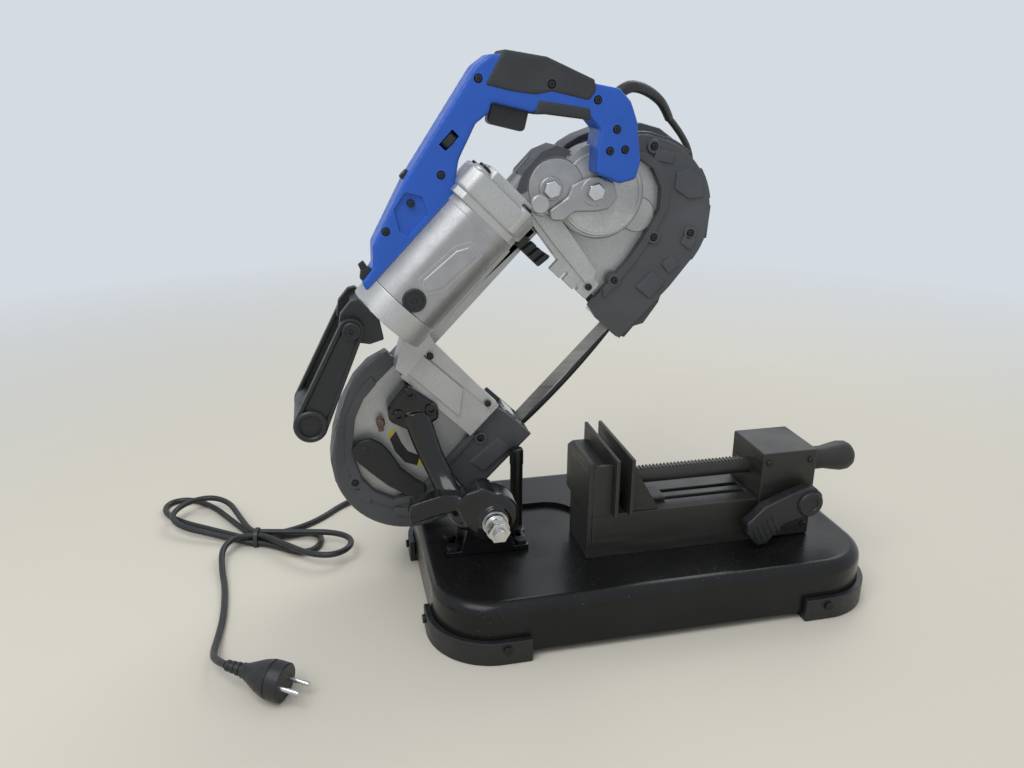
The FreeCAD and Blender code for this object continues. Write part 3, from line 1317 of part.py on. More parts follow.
def make_cord():
    points = [Vector(*spot) for spot in cord_route]
    # The cord leaves the relief straight
    points[0] = (saw_point(*relief_route[-1]) + points[1]) * 0.5
    relief = [saw_point(*spot) for spot in relief_route] + [points[0]]
    wire, radii = tube_path(relief)
    print("strain relief radii", [round(radius) for radius in radii])
    feature("strain_relief", tube(wire, cord_radius.value + 1.5))
    # The saw carries the first stretch, and the rest lies on the bench
    split = (points[6] + points[7]) * 0.5
    wire, radii = tube_path(points[:7] + [split])
    print("cord stub length", round(wire.Length), "radii", [round(radius) for radius in radii])
    stub_length = wire.Length
    feature("cord_stub", tube(wire, cord_radius.value))
    spots, headings = hank_points()
    drop, radii = tube_path([split] + points[7:])
    print("cord drop length", round(drop.Length), "radii", [round(radius) for radius in radii])
    last = points[-1] - points[-2]
    tail = [Vector(*spot) for spot in tail_route]
    lie = Rotation(plug_heading, plug_dip, plug_roll)
    spots = [points[-1]] + spots + tail
    headings = [last.normalize()] + headings
    for index, spot in enumerate(tail):
        before = spots[len(headings) - 1]
        after = tail[index + 1] if index + 1 < len(tail) else spot + (spot - before)
        way = (after - before).normalize()
        if index + 1 == len(tail):
            way = lie.multVec(Vector(1, 0, 0))
        headings.append(way)
    edges = list(drop.OrderedEdges)
    tightest = 1e9
    for index in range(len(spots) - 1):
        for edge in biarc(spots[index], headings[index], spots[index + 1], headings[index + 1]):
            edges.append(edge)
            if hasattr(edge.Curve, "Radius"):
                tightest = min(tightest, edge.Curve.Radius)
    wire = Part.Wire(Part.__sortEdges__(edges))
    print("cord lead length", round(wire.Length), "tightest bend", round(tightest, 1))
    print("cord length in all", round(wire.Length + stub_length))
    print("cord lead gap to itself", round(least_gap(wire, 2 * cord_radius.value, 40), 2))
    feature("cord_lead", tube(wire, cord_radius.value))

    tie = body("cord_tie")
    outer = [(-13.7, 5.2), (-10.8, 0.2), (10.8, 0.2), (13.7, 5.2), (9.8, 14.5), (5.9, 18.4),
             (-5.9, 18.4), (-9.8, 14.5)]
    inner = [(-12.4, 5.2), (-10, 1.3), (10, 1.3), (12.4, 5.2), (8.8, 13.9), (5.3, 17.3),
             (-5.3, 17.3), (-8.8, 13.9)]
    add(tie, "XZ", -2.5, 2.5, outer, inner)
    tie.Placement = Placement(Vector(tie_x.value, tie_y.value, 0), Rotation(Vector(0, 0, 1), tie_heading - 90))
    bind(tie, "Placement.Base.x", tie_x)
    bind(tie, "Placement.Base.y", tie_y)

    plug = body("plug")
    sketch = sketch_on(plug, "XZ", 0)
    polygon(sketch, [
        (0, 0), (0, 5), (22, 7), (26, 10), (36, plug_radius * 0.86), (44, plug_radius),
        (plug_length, plug_radius), (plug_length, 0)])
    turned = plug.newObject("PartDesign::Revolution", "plug_turned")
    turned.Profile = sketch
    turned.ReferenceAxis = (sketch, ["H_Axis"])
    turned.Angle = 360
    add(plug, "YZ", plug_length, plug_length + plug_pin_length,
        *[Disc(side * plug_pin_spacing / 2, 0, plug_pin_radius) for side in (-1, 1)])
    plug.Placement = Placement(tail[-1], lie)


make_base_pan()
make_corner_feet()
make_stand_fasteners()
make_hinge_tower()
make_hinge_hardware()
make_hinge_spring()
make_stop_post()
make_vise_channel()
make_fixed_jaw()
make_moving_jaw()
make_push_rod()
make_vise_block()
make_clamp_lever()
make_frame()
make_gear_case()
make_gears()
make_wheel("drive_wheel", drive_s, 17, drive_shaft_radius + 0.02)
make_idler()
make_blade()
make_guides()
make_guards()
make_blade_channel()
make_motor()
make_handle()
make_arm()
make_tension_lever()
make_bail()
make_cord()

doc.recompute()

# The row's origin lies on the table, under the middle of everything but the cord
row_shift = size("row_shift", 52.36)
for piece in nodes:
    bound = [path for path, text in piece.ExpressionEngine if path == ".Placement.Base.x" or path == "Placement.Base.x"]
    if bound:
        known = [text for path, text in piece.ExpressionEngine if path.endswith("Placement.Base.x")][0]
        piece.setExpression("Placement.Base.x", "%s + %s" % (known, row_shift.text))
    else:
        bind(piece, "Placement.Base.x", row_shift + piece.Placement.Base.x)
doc.recompute()
cord_pieces = ("cord_lead", "cord_tie", "plug", "cord_stub", "strain_relief")
box = FreeCAD.BoundBox()
for piece in nodes:
    if piece.Label not in cord_pieces:
        box.add(piece.Shape.BoundBox)
print("middle of the row", round(box.Center.x, 2), round(box.Center.y, 2), "low", round(box.ZMin, 3))
print("size of the row", round(box.XLength, 1), round(box.YLength, 1), round(box.ZLength, 1))

for item in doc.Objects:
    if "Invalid" in item.State or "Error" in item.State:
        raise ValueError("%s failed to build: %s" % (item.Label, item.State))
    if item.TypeId == "PartDesign::Pocket":
        if item.Shape.Volume >= item.BaseFeature.Shape.Volume:
            raise ValueError("%s cuts nothing" % item.Label)

os.makedirs("parts", exist_ok=True)
for piece in nodes:
    shape = piece.Shape
    if shape.isNull() or not shape.isValid():
        raise ValueError("%s has no valid shape" % piece.Label)
    shape.exportStep("parts/%s.step" % piece.Label)
print(len(nodes), "nodes written")
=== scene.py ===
# %% [markdown]
# # Dressing a portable band saw on its bench stand
# The saw's solids come from a CAD model: each has its place in its own vertices, in metres.
# Blender's work here is the look: the camera, the light, the finishes and the rounder forms.

# %% Load the solids
import json
import math
import bmesh
import bpy
from mathutils import Matrix, Vector

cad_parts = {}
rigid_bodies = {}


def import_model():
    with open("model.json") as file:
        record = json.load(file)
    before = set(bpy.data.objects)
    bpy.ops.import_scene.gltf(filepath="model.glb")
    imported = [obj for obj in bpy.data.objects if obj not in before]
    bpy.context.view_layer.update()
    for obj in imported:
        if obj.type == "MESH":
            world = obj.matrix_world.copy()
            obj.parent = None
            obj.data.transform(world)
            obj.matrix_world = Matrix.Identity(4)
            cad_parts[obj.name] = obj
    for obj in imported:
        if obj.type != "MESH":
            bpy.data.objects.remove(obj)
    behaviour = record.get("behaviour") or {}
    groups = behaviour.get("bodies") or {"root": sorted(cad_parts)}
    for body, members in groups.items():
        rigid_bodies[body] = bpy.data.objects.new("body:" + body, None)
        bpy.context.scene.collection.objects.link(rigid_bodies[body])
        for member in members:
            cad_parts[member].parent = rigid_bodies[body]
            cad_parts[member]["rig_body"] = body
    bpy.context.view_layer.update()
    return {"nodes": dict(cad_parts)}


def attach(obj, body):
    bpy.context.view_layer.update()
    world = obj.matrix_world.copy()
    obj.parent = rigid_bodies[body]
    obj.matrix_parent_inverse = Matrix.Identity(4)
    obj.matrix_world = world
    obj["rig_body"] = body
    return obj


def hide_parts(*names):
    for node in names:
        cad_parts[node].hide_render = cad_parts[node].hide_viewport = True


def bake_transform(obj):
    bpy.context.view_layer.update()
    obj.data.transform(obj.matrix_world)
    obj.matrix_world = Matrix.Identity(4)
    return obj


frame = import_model()
nodes = frame["nodes"]

# %% [markdown]
# ## The camera
# The picture was taken standing at the bench, looking down on the saw from its left.
# The place, angles and lens were worked out from the straight edges of the stand and the vise.

# %% Camera
camera_place = (-0.26573, -0.79677, 0.52257)
camera_turn = (70.453, -0.276, -12.911)
bpy.ops.object.camera_add(location=camera_place)
camera = bpy.context.object
camera.name = "bench_camera"
camera.rotation_euler = [math.radians(angle) for angle in camera_turn]
camera.data.sensor_width = 36
camera.data.lens = 29.69
bpy.context.scene.camera = camera
bpy.context.scene.view_settings.view_transform = "Standard"
print("lens", camera.data.lens)

# %% [markdown]
# ## Places on the stand and on the saw
# The stand is square to the room, but the saw leans at 46 degrees on its hinge.
# Two helpers turn millimetres measured along each of them into places in the room.

# %% Two rulers
row_shift = 52.36
saw_lean = math.radians(46)


def on_stand(x, y, z):
    """A place measured in millimetres from the middle of the base."""
    return Vector((x + row_shift, y, z)) / 1000


hinge = on_stand(-168, 24, 116.5)
saw_place = Matrix.Translation(hinge) @ Matrix.Rotation(-saw_lean, 4, "Y")


def on_saw(along, across, up):
    """A place measured in millimetres along the blade, across the saw and up from the blade."""
    leaning = Matrix.Rotation(-saw_lean, 3, "Y") @ Vector((along, across, up))
    return hinge + leaning / 1000


print("top of the saw", on_saw(320, 0, 164))

# %% [markdown]
# ## Bars along a smooth line
# The cord, its sleeve and the ridge of the arm are round bars that bend without a kink.
# A spline gives such a line from few points. It is then given a round section and made a mesh.

# %% Smooth lines


def pick(*pieces):
    """Object mode, with only these pieces selected and the first one active."""
    if bpy.context.mode != "OBJECT":
        bpy.ops.object.mode_set(mode="OBJECT")
    bpy.ops.object.select_all(action="DESELECT")
    for piece in pieces:
        piece.select_set(True)
    bpy.context.view_layer.objects.active = pieces[0]


def smooth_line(name, route, widths=None):
    """A spline through the room, with the share of the full width at each of its points."""
    curve = bpy.data.curves.new(name, "CURVE")
    curve.dimensions = "3D"
    line = curve.splines.new("NURBS")
    line.points.add(len(route) - 1)
    for knot, spot, width in zip(line.points, route, widths or [1] * len(route)):
        knot.co = (*spot, 1)
        knot.radius = width
    line.order_u = 3
    line.use_endpoint_u = True
    line.resolution_u = 12
    piece = bpy.data.objects.new(name, curve)
    bpy.context.scene.collection.objects.link(piece)
    return piece


def thicken(piece, radius):
    """A round bar of that radius, in metres, along a line."""
    piece.data.bevel_depth = radius
    piece.data.bevel_resolution = 4
    piece.data.use_fill_caps = True
    pick(piece)
    bpy.ops.object.convert(target="MESH")
    return bpy.context.object


print("line tools ready")

# %% [markdown]
# ## The mains cord
# A rubber-sheathed lead leaves the handle, falls behind the saw and lies on the bench.
# Its spare length is folded into a loose hank, tied in the middle, and ends in a plug.
# Each strand of the hank has a column and a layer in the tie.
# Each loop between two strands has a heading, a length, a width, a side and a lift.

# %% The route of the cord
tie_spot, tie_heading, tie_half = (-414, 143), 170, 8
strand_low, strand_rise, strand_pitch = 5.2, 7.9, 8
loop_steps, loop_fullness = 10, 1.54
strands = [(-1, 0), (0, 0), (1, 0), (-0.5, 1), (0.5, 1)]
hank_loops = [(132, 164, 50, -1, -1.6), (-13, 70, 46, 1, -1.6), (132, 128, 72, 1, 7), (-32, 118, 52, 1, 4)]
cord_drop = [
    (61, 60, 474), (84, 84, 449), (93, 103, 416), (87, 112, 376), (67, 114, 334), (38, 114, 292),
    (8, 113, 252), (-26, 112, 212), (-60, 112, 176), (-95, 114, 141), (-130, 124, 107), (-166, 146, 73),
    (-203, 178, 42), (-243, 212, 18), (-281, 231, 6), (-312, 214, 3.8), (-336, 185, 3.7),
    (-361, 166, 3.7), (-386, 155.5, 4.4)]
cord_tail = [
    (-441, 135, 14.6), (-452, 116, 12), (-450, 84, 5), (-443, 44, 3.6), (-440, -8, 3.6), (-442, -46, 4.5),
    (-443, -76, 10), (-439, -100, 18), (-426, -118.1, 24.2)]


def heading(degrees):
    return Vector((math.cos(math.radians(degrees)), math.sin(math.radians(degrees)), 0))


def strand_spot(index, along):
    """A point of one strand in the tied bundle."""
    column, layer = strands[index]
    spot = Vector((*tie_spot, strand_low + layer * strand_rise))
    return spot + heading(tie_heading + 90) * (column * strand_pitch) + heading(tie_heading) * along


hank = []
for index in range(len(strands)):
    side = tie_half if index % 2 == 0 else -tie_half
    hank += [strand_spot(index, -side), strand_spot(index, side)]
    if index < len(hank_loops):
        degrees, length, width, turn, lift = hank_loops[index]
        begin, end = strand_spot(index, side), strand_spot(index + 1, side)
        for step in range(2, loop_steps - 1):
            angle = 2 * math.pi * step / loop_steps
            swell = (1 - math.cos(angle)) / 2
            wide = turn * width / 2 * loop_fullness * math.sin(angle) * swell
            spot = begin.lerp(end, step / loop_steps) + heading(degrees) * (length * swell)
            hank.append(spot + heading(degrees + 90) * wide + Vector((0, 0, lift * swell)))
relief_end = on_saw(409, 4, 140)
cord_exit = (relief_end + on_stand(*cord_drop[0])) / 2
cord_route = [cord_exit] + [on_stand(*spot) for spot in cord_drop + hank + cord_tail]
print("points on the cord's route", len(cord_route))

# %% [markdown]
# One spline follows the whole route, so the cord bends as a real one does, and its length is measured on it.

# %% The cord
cord_thickness = 0.007
cord_line = smooth_line("mains_cord", cord_route)
cord_path = [vertex.co.copy() for vertex in bpy.data.meshes.new_from_object(cord_line).vertices]
cord_length = sum((b - a).length for a, b in zip(cord_path, cord_path[1:]))
mains_cord = thicken(cord_line, cord_thickness / 2)
bpy.ops.object.shade_smooth()
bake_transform(mains_cord)
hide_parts("cord_stub", "cord_lead")
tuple(cord_path[0])
print("cord length", round(cord_length, 3))

# %% [markdown]
# ## A builder for finishes
# Each real finish has a grain, a slight change of tone, a gloss that varies and wear on its edges, and the
# mouldings have a painted highlight on their edges.
# The builder starts a material and has one short method for each of these, all on object coordinates,
# so that the pattern keeps its size on a large casting and on a small screw.
# A grain is written as grains in a metre and detail, then how it is drawn out and turned if it is brushed.

# %% The finish builder


def plug_in(tree, socket, value):
    """Give a socket a value, or link it where the value is another node's output."""
    if isinstance(value, bpy.types.NodeSocket):
        tree.links.new(value, socket)
    else:
        socket.default_value = value


def shader_node(tree, kind, inputs, output, **settings):
    """One output of a new shader node with those inputs and settings."""
    made = tree.nodes.new("ShaderNode" + kind)
    for name, value in settings.items():
        setattr(made, name, value)
    for socket, value in inputs.items():
        plug_in(tree, made.inputs[socket], value)
    return made.outputs[output]


class Finish:
    """One material, with the grain, tone, gloss and wear that feed its shader."""

    def __init__(self, name, colour, roughness, metallic=0.0):
        self.material = bpy.data.materials.new(name)
        self.material.use_nodes = True
        self.tree = self.material.node_tree
        self.shader = self.tree.nodes["Principled BSDF"]
        self.place = self.node("TexCoord", {}, "Object")
        self.tone = (*colour, 1)
        self.grains = {}
        self.set("Base Color", self.tone).set("Roughness", roughness).set("Metallic", metallic)

    def node(self, kind, inputs, output, **settings):
        return shader_node(self.tree, kind, inputs, output, **settings)

    def set(self, socket, value):
        plug_in(self.tree, self.shader.inputs[socket], value)
        return self

    def grain(self, scale, detail, stretch=(1, 1, 1), turn=0.0):
        """A noise of that kind, made once and shared."""
        kind = (scale, detail, stretch, turn)
        if kind not in self.grains:
            spread = {"Vector": self.place, "Scale": stretch, "Rotation": (0, turn, 0)}
            cloud = {"Vector": self.node("Mapping", spread, "Vector"), "Scale": scale, "Detail": detail}
            self.grains[kind] = self.node("TexNoise", cloud, "Fac")
        return self.grains[kind]

    def ramp(self, source, start, end, low, high):
        """Numbers from low to high as the source goes from start to end."""
        steps = {"Value": source, "From Min": start, "From Max": end, "To Min": low, "To Max": high}
        return self.node("MapRange", steps, "Result")

    def tint(self, source, start, end, other):
        mix = {"A": self.tone, "B": (*other, 1), "Factor": self.ramp(source, start, end, 0, 1)}
        self.tone = self.node("Mix", mix, "Result", data_type="RGBA")
        return self.set("Base Color", self.tone)

    def shade(self, kind, start, end, other):
        """The tone goes to another colour where the grain is strong."""
        return self.tint(self.grain(*kind), start, end, other)

    def edge_wear_and_highlight(self, radius, start, other):
        """Another colour on the sharp edges of the piece: wear where hands and tools rub on metal and paint,
        a painted highlight on the mouldings.
        """
        # The mask is the sharp edges: its lighter colour is real wear on metals and a painted highlight on
        # mouldings.
        soft = self.node("Bevel", {"Radius": radius}, "Normal", samples=4)
        true = self.node("NewGeometry", {}, "Normal")
        turn = self.node("VectorMath", {0: soft, 1: true}, "Value", operation="DOT_PRODUCT")
        return self.tint(self.ramp(turn, 0.9, 0.999, 1, 0), start, 1.0, other)

    def gloss(self, kind, low, high):
        return self.set("Roughness", self.ramp(self.grain(*kind), 0.3, 0.7, low, high))

    def bump(self, source, depth, strength):
        """A relief of that depth in metres."""
        relief = {"Height": source, "Distance": depth, "Strength": strength}
        return self.set("Normal", self.node("Bump", relief, "Normal"))

    def dents(self, kind, depth, strength):
        return self.bump(self.grain(*kind), depth, strength)

    def pebbles(self, scale, depth, strength):
        """Small rounded cells, as in a moulded texture."""
        cells = self.node("TexVoronoi", {"Vector": self.place, "Scale": scale}, "Distance")
        return self.bump(cells, depth, strength)


print("finish builder ready")

# %% [markdown]
# ## A pale floor
# The saw stands on a plain pale surface that fades into the background, so no horizon cuts behind it.
# The paint is mixed with a clear shader, by how far a point lies from the middle.

# %% Floor
floor_radius, fade_start, fade_end = 6, 0.7, 1.9
bpy.ops.mesh.primitive_circle_add(vertices=96, radius=floor_radius, fill_type="NGON", location=(0, 0, 0))
floor = bpy.context.object
floor.name = "pale_floor"
floor_paint = Finish("pale_floor", (0.70, 0.66, 0.57), 0.75).set("Specular IOR Level", 0.2)
reach = floor_paint.node("VectorMath", {0: floor_paint.place}, "Value", operation="LENGTH")
fade = floor_paint.ramp(reach, fade_start, fade_end, 0, 1)
clear = floor_paint.node("BsdfTransparent", {}, "BSDF")
painted = floor_paint.shader.outputs["BSDF"]
mixed = floor_paint.node("MixShader", {"Fac": fade, 1: painted, 2: clear}, "Shader")
plug_in(floor_paint.tree, floor_paint.tree.nodes["Material Output"].inputs["Surface"], mixed)
floor.data.materials.append(floor_paint.material)
print("floor radius", floor_radius)

# %% [markdown]
# ## Soft light
# Large lamps overhead and a bright surround give the soft shadows of a workshop ceiling.
# What the camera sees behind the saw, directly or in a gloss, is a calmer grey blue than what lights it.

# %% Light
world = bpy.data.worlds.new("workshop")
bpy.context.scene.world = world
world.use_nodes = True
room = world.node_tree
surround = room.nodes["Background"]
plug_in(room, surround.inputs["Color"], (0.90, 0.95, 1.0, 1))
plug_in(room, surround.inputs["Strength"], 0.55)
backdrop = shader_node(room, "Background", {"Color": (0.66, 0.71, 0.76, 1), "Strength": 1.0}, "Background")
seen = shader_node(room, "LightPath", {}, "Is Camera Ray")
for ray in ("Is Glossy Ray", "Is Transmission Ray"):
    glanced = shader_node(room, "LightPath", {}, ray)
    seen = shader_node(room, "Math", {0: seen, 1: glanced}, "Value", operation="MAXIMUM")
sky = shader_node(room, "MixShader", {"Fac": seen, 1: surround.outputs["Background"], 2: backdrop}, "Shader")
plug_in(room, room.nodes["World Output"].inputs["Surface"], sky)
lamps = [("key_lamp", (-0.9, -0.9, 1.9), (0, 0, 0.25), 1.4, 22),
         ("back_lamp", (0.9, 1.2, 1.7), (0, 0, 0.2), 1.2, 12)]
for name, spot, aim, size, power in lamps:
    bpy.ops.object.light_add(type="AREA", location=spot)
    lamp = bpy.context.object
    lamp.name = name
    lamp.data.shape = "SQUARE"
    lamp.data.size = size
    lamp.data.energy = power
    lamp.rotation_euler = (Vector(aim) - Vector(spot)).to_track_quat("-Z", "Y").to_euler()
print("lamps", len(lamps))

# %% [markdown]
# ## Metals
# The saw's body is sand-cast aluminium under silver paint, so its skin is pebbled and a little sparkly.
# The blade, gears and pins are bare steel, the bolts are bright zinc and the small screws are blackened.

# %% Metal finishes
cast_silver = Finish("cast_silver", (0.45, 0.45, 0.445), 0.42, 0.55)
cast_silver.shade((900, 2), 0.35, 0.7, (0.56, 0.56, 0.555)).shade((28, 3), 0.45, 0.8, (0.42, 0.42, 0.415))
cast_silver.edge_wear_and_highlight(0.0012, 0.2, (0.58, 0.58, 0.57)).gloss((900, 2), 0.34, 0.5).dents((900, 2), 0.0003, 0.5)

blasted_silver = Finish("blasted_silver", (0.36, 0.36, 0.35), 0.5, 0.6)
blasted_silver.shade((620, 4), 0.4, 0.68, (0.62, 0.62, 0.61)).shade((40, 3), 0.5, 0.8, (0.30, 0.30, 0.29))
blasted_silver.gloss((620, 4), 0.38, 0.6).dents((620, 4), 0.0006, 0.7)

smooth_silver = Finish("smooth_silver", (0.36, 0.36, 0.365), 0.40, 0.6)
smooth_silver.shade((70, 3), 0.4, 0.75, (0.42, 0.42, 0.42)).edge_wear_and_highlight(0.0012, 0.2, (0.58, 0.58, 0.57))
smooth_silver.gloss((420, 3), 0.34, 0.48).dents((1300, 1), 0.0001, 0.3)

sparkle_silver = Finish("sparkle_silver", (0.42, 0.42, 0.41), 0.44, 0.6)
sparkle_silver.shade((1500, 2), 0.42, 0.62, (0.60, 0.60, 0.585)).shade((30, 3), 0.45, 0.8, (0.37, 0.37, 0.36))
sparkle_silver.gloss((1500, 2), 0.34, 0.52).dents((1500, 2), 0.0003, 0.5)

dull_bronze = Finish("dull_bronze", (0.17, 0.115, 0.085), 0.42, 0.7)
dull_bronze.shade((240, 3), 0.4, 0.7, (0.11, 0.08, 0.065)).gloss((400, 2), 0.34, 0.52)

bright_zinc = Finish("bright_zinc", (0.66, 0.65, 0.62), 0.25, 1.0)
bright_zinc.shade((60, 3), 0.4, 0.75, (0.52, 0.53, 0.56))
bright_zinc.gloss((300, 3), 0.18, 0.4).dents((1400, 1), 0.0001, 0.3)

black_screw = Finish("black_screw", (0.018, 0.018, 0.02), 0.38, 0.5)
black_screw.edge_wear_and_highlight(0.0006, 0.3, (0.10, 0.10, 0.10)).gloss((500, 2), 0.3, 0.5)

blade_steel = Finish("blade_steel", (0.30, 0.30, 0.30), 0.34, 0.9)
blade_brush = (260, 3, (0.02, 1, 1), saw_lean)
blade_steel.shade(blade_brush, 0.35, 0.7, (0.42, 0.42, 0.41)).shade((30, 4), 0.55, 0.8, (0.20, 0.20, 0.21))
blade_steel.gloss(blade_brush, 0.25, 0.45)

turned_steel = Finish("turned_steel", (0.40, 0.40, 0.40), 0.3, 1.0)
turned_steel.shade((180, 3), 0.4, 0.7, (0.28, 0.27, 0.26)).gloss((700, 2), 0.22, 0.42)

copper_winding = Finish("copper_winding", (0.42, 0.16, 0.06), 0.35, 0.9)
copper_winding.shade((400, 2, (0.1, 1, 1), saw_lean), 0.4, 0.6, (0.20, 0.07, 0.03))
copper_winding.gloss((200, 2), 0.25, 0.45)
print("materials with the metals", len(bpy.data.materials))

# %% [markdown]
# ## Plastics and rubber
# The handle is moulded in blue with a fine spark-eroded skin, and its pads are pebbled soft rubber.
# The guards are glass-filled nylon, which comes out of the mould dark grey and slightly cloudy. The lighter
# colour on the edges of these mouldings is a painted highlight.

# %% Plastic and rubber finishes
blue_moulding = Finish("blue_moulding", (0.014, 0.098, 0.50), 0.4)
# The lighter blue on the edges is a painted highlight.
blue_moulding.shade((35, 3), 0.45, 0.8, (0.012, 0.085, 0.44)).edge_wear_and_highlight(0.0012, 0.35, (0.05, 0.17, 0.62))
blue_moulding.gloss((120, 2), 0.34, 0.48).dents((1700, 1), 0.00012, 0.5)

soft_grip = Finish("soft_grip", (0.030, 0.0325, 0.036), 0.72)
# The lighter grey on the pads' edges is a painted highlight.
soft_grip.shade((45, 3), 0.45, 0.8, (0.042, 0.045, 0.049)).edge_wear_and_highlight(0.001, 0.4, (0.075, 0.075, 0.076))
soft_grip.pebbles(750, 0.0004, 0.6)

guard_nylon = Finish("guard_nylon", (0.064, 0.068, 0.074), 0.5)
# The lighter grey on the guards' edges is a painted highlight.
guard_nylon.shade((22, 4), 0.4, 0.8, (0.082, 0.086, 0.092)).edge_wear_and_highlight(0.0012, 0.35, (0.10, 0.105, 0.11))
guard_nylon.gloss((90, 3), 0.42, 0.6).dents((1100, 2), 0.00015, 0.5)

black_moulding = Finish("black_moulding", (0.011, 0.012, 0.0132), 0.42)
# The lighter colour on the edges is a painted highlight.
black_moulding.shade((50, 3), 0.45, 0.8, (0.017, 0.018, 0.0195)).edge_wear_and_highlight(0.001, 0.4, (0.036, 0.037, 0.039))
black_moulding.gloss((160, 2), 0.34, 0.52).dents((1500, 1), 0.0001, 0.4)

cord_rubber = Finish("cord_rubber", (0.014, 0.014, 0.015), 0.42)
cord_rubber.shade((90, 3), 0.45, 0.8, (0.022, 0.022, 0.023))
cord_rubber.gloss((260, 2), 0.34, 0.55).dents((800, 2), 0.0001, 0.4)

label_yellow = Finish("label_yellow", (0.72, 0.56, 0.03), 0.45)
label_yellow.shade((90, 3), 0.45, 0.8, (0.62, 0.47, 0.03)).gloss((300, 2), 0.38, 0.52)

tyre_rubber = Finish("tyre_rubber", (0.03, 0.028, 0.026), 0.8)
tyre_rubber.shade((150, 3), 0.4, 0.7, (0.05, 0.047, 0.044)).dents((500, 2), 0.0002, 0.4)
print("materials with the plastics", len(bpy.data.materials))

# %% [markdown]
# ## Paints
# The pressed base has a glossy black enamel with the slight ripple of sprayed paint, and some dust on it.
# The vise is brushed with an olive black satin paint that has rubbed thin on its edges.

# %% Paint finishes
base_enamel = Finish("base_enamel", (0.0085, 0.0085, 0.0085), 0.24)
base_enamel.set("Coat Weight", 0.15).set("Specular IOR Level", 0.22).set("Coat Roughness", 0.2)
base_enamel.shade((14, 4), 0.45, 0.8, (0.013, 0.013, 0.0125)).shade((520, 2), 0.70, 0.78, (0.12, 0.11, 0.10))
base_enamel.gloss((20, 4), 0.18, 0.36).dents((220, 2), 0.0002, 0.25)

arm_enamel = Finish("arm_enamel", (0.006, 0.006, 0.007), 0.16)
arm_enamel.set("Coat Weight", 0.3).set("Specular IOR Level", 0.36).set("Coat Roughness", 0.12)
arm_enamel.shade((60, 3), 0.5, 0.8, (0.011, 0.011, 0.012))
arm_enamel.gloss((60, 3), 0.13, 0.28).dents((120, 3), 0.0006, 0.35)

vise_paint = Finish("vise_paint", (0.019, 0.019, 0.016), 0.46)
vise_brush = (160, 4, (0.12, 0.12, 1))
vise_paint.shade(vise_brush, 0.45, 0.75, (0.024, 0.024, 0.0205)).edge_wear_and_highlight(0.0014, 0.3, (0.06, 0.058, 0.05))
vise_paint.gloss(vise_brush, 0.36, 0.58).dents((420, 3), 0.0002, 0.35)
print("materials with the paints", len(bpy.data.materials))

# %% [markdown]
# ## Dressing the solids
# Every solid takes the finish of the real piece. Pieces that are modelled again below hide theirs.

# %% Dress every solid
worn_by = {
    cast_silver: ["gear_head", "motor_housing", "motor_end_cap", "gear_link_plate", "frame",
                  "idler_carriage"],
    smooth_silver: ["gear_case"],
    blasted_silver: ["drive_wheel", "idler_wheel"],
    bright_zinc: ["saw_bolts", "hinge_bolt", "hinge_nut", "hinge_spring", "blade_guides"],
    black_screw: ["saw_screws", "stand_fasteners"],
    blade_steel: ["blade"],
    turned_steel: ["bevel_gear", "reduction_gear", "drive_shaft", "shaft_bearings", "lay_shaft",
                   "idler_side_roller_near", "idler_side_roller_far", "drive_side_roller_near",
                   "drive_side_roller_far"],
    copper_winding: ["stator", "armature"],
    blue_moulding: ["handle_near_shell", "handle_far_shell"],
    soft_grip: ["grip_pads"],
    guard_nylon: ["drive_guard", "idler_guard", "rear_covers", "blade_channel"],
    black_moulding: ["brush_caps", "trigger", "speed_dial", "tension_lever", "bail_bracket", "bail_handle",
                     "corner_feet", "clamp_lever", "plug"],
    cord_rubber: ["strain_relief", "cord_stub", "cord_lead", "cord_tie"],
    tyre_rubber: ["drive_tyre", "idler_tyre"],
    base_enamel: ["base_pan", "stop_post"],
    arm_enamel: ["mount_arm", "arm_bracket", "hinge_tower"],
    vise_paint: ["vise_channel", "fixed_jaw", "moving_jaw", "push_rod", "vise_block"],
}
finish_of = {name: finish for finish, names in worn_by.items() for name in names}
for name, finish in finish_of.items():
    nodes[name].data.materials.clear()
    nodes[name].data.materials.append(finish.material)
mains_cord.data.materials.append(cord_rubber.material)
print("dressed", len(finish_of), "left", sorted(set(nodes) - set(finish_of)))

# %% [markdown]
# ## Tools for the modelling bench
# A mould or a die can't hold a sharp corner, so nearly every piece of the saw has rounded edges.
# These helpers select by place, extrude an outline, turn a profile and round the edges.
# They work in millimetres, as on a drawing: for the saw along the blade, across the saw and up from
# the blade, and for the stand along the base, across it and up from the bench.
# A profile lists steps, each with how far it reaches along the axis and its radius.

# %% Select, extrude, turn and round
axes = {"along": (Vector((1, 0, 0)), (0, math.pi / 2, 0)),
        "across": (Vector((0, 1, 0)), (math.pi / 2, 0, 0)),
        "up": (Vector((0, 0, 1)), (0, 0, 0))}


def arc(centre, radius, first, last, steps):
    """Points on a circle, with angles in degrees from its first axis."""
    angles = [math.radians(first + (last - first) * step / steps) for step in range(steps + 1)]
    return [(centre[0] + radius * math.cos(a), centre[1] + radius * math.sin(a)) for a in angles]


def open_up(piece, choice="SELECT"):
    """Edit mode, with all or nothing of the piece selected."""
    pick(piece)
    bpy.ops.object.mode_set(mode="EDIT")
    bpy.ops.mesh.select_all(action=choice)


def close_up(piece):
    """Turn all faces outwards and leave edit mode."""
    bpy.ops.mesh.select_all(action="SELECT")
    bpy.ops.mesh.normals_make_consistent(inside=False)
    bpy.ops.object.mode_set(mode="OBJECT")
    return piece


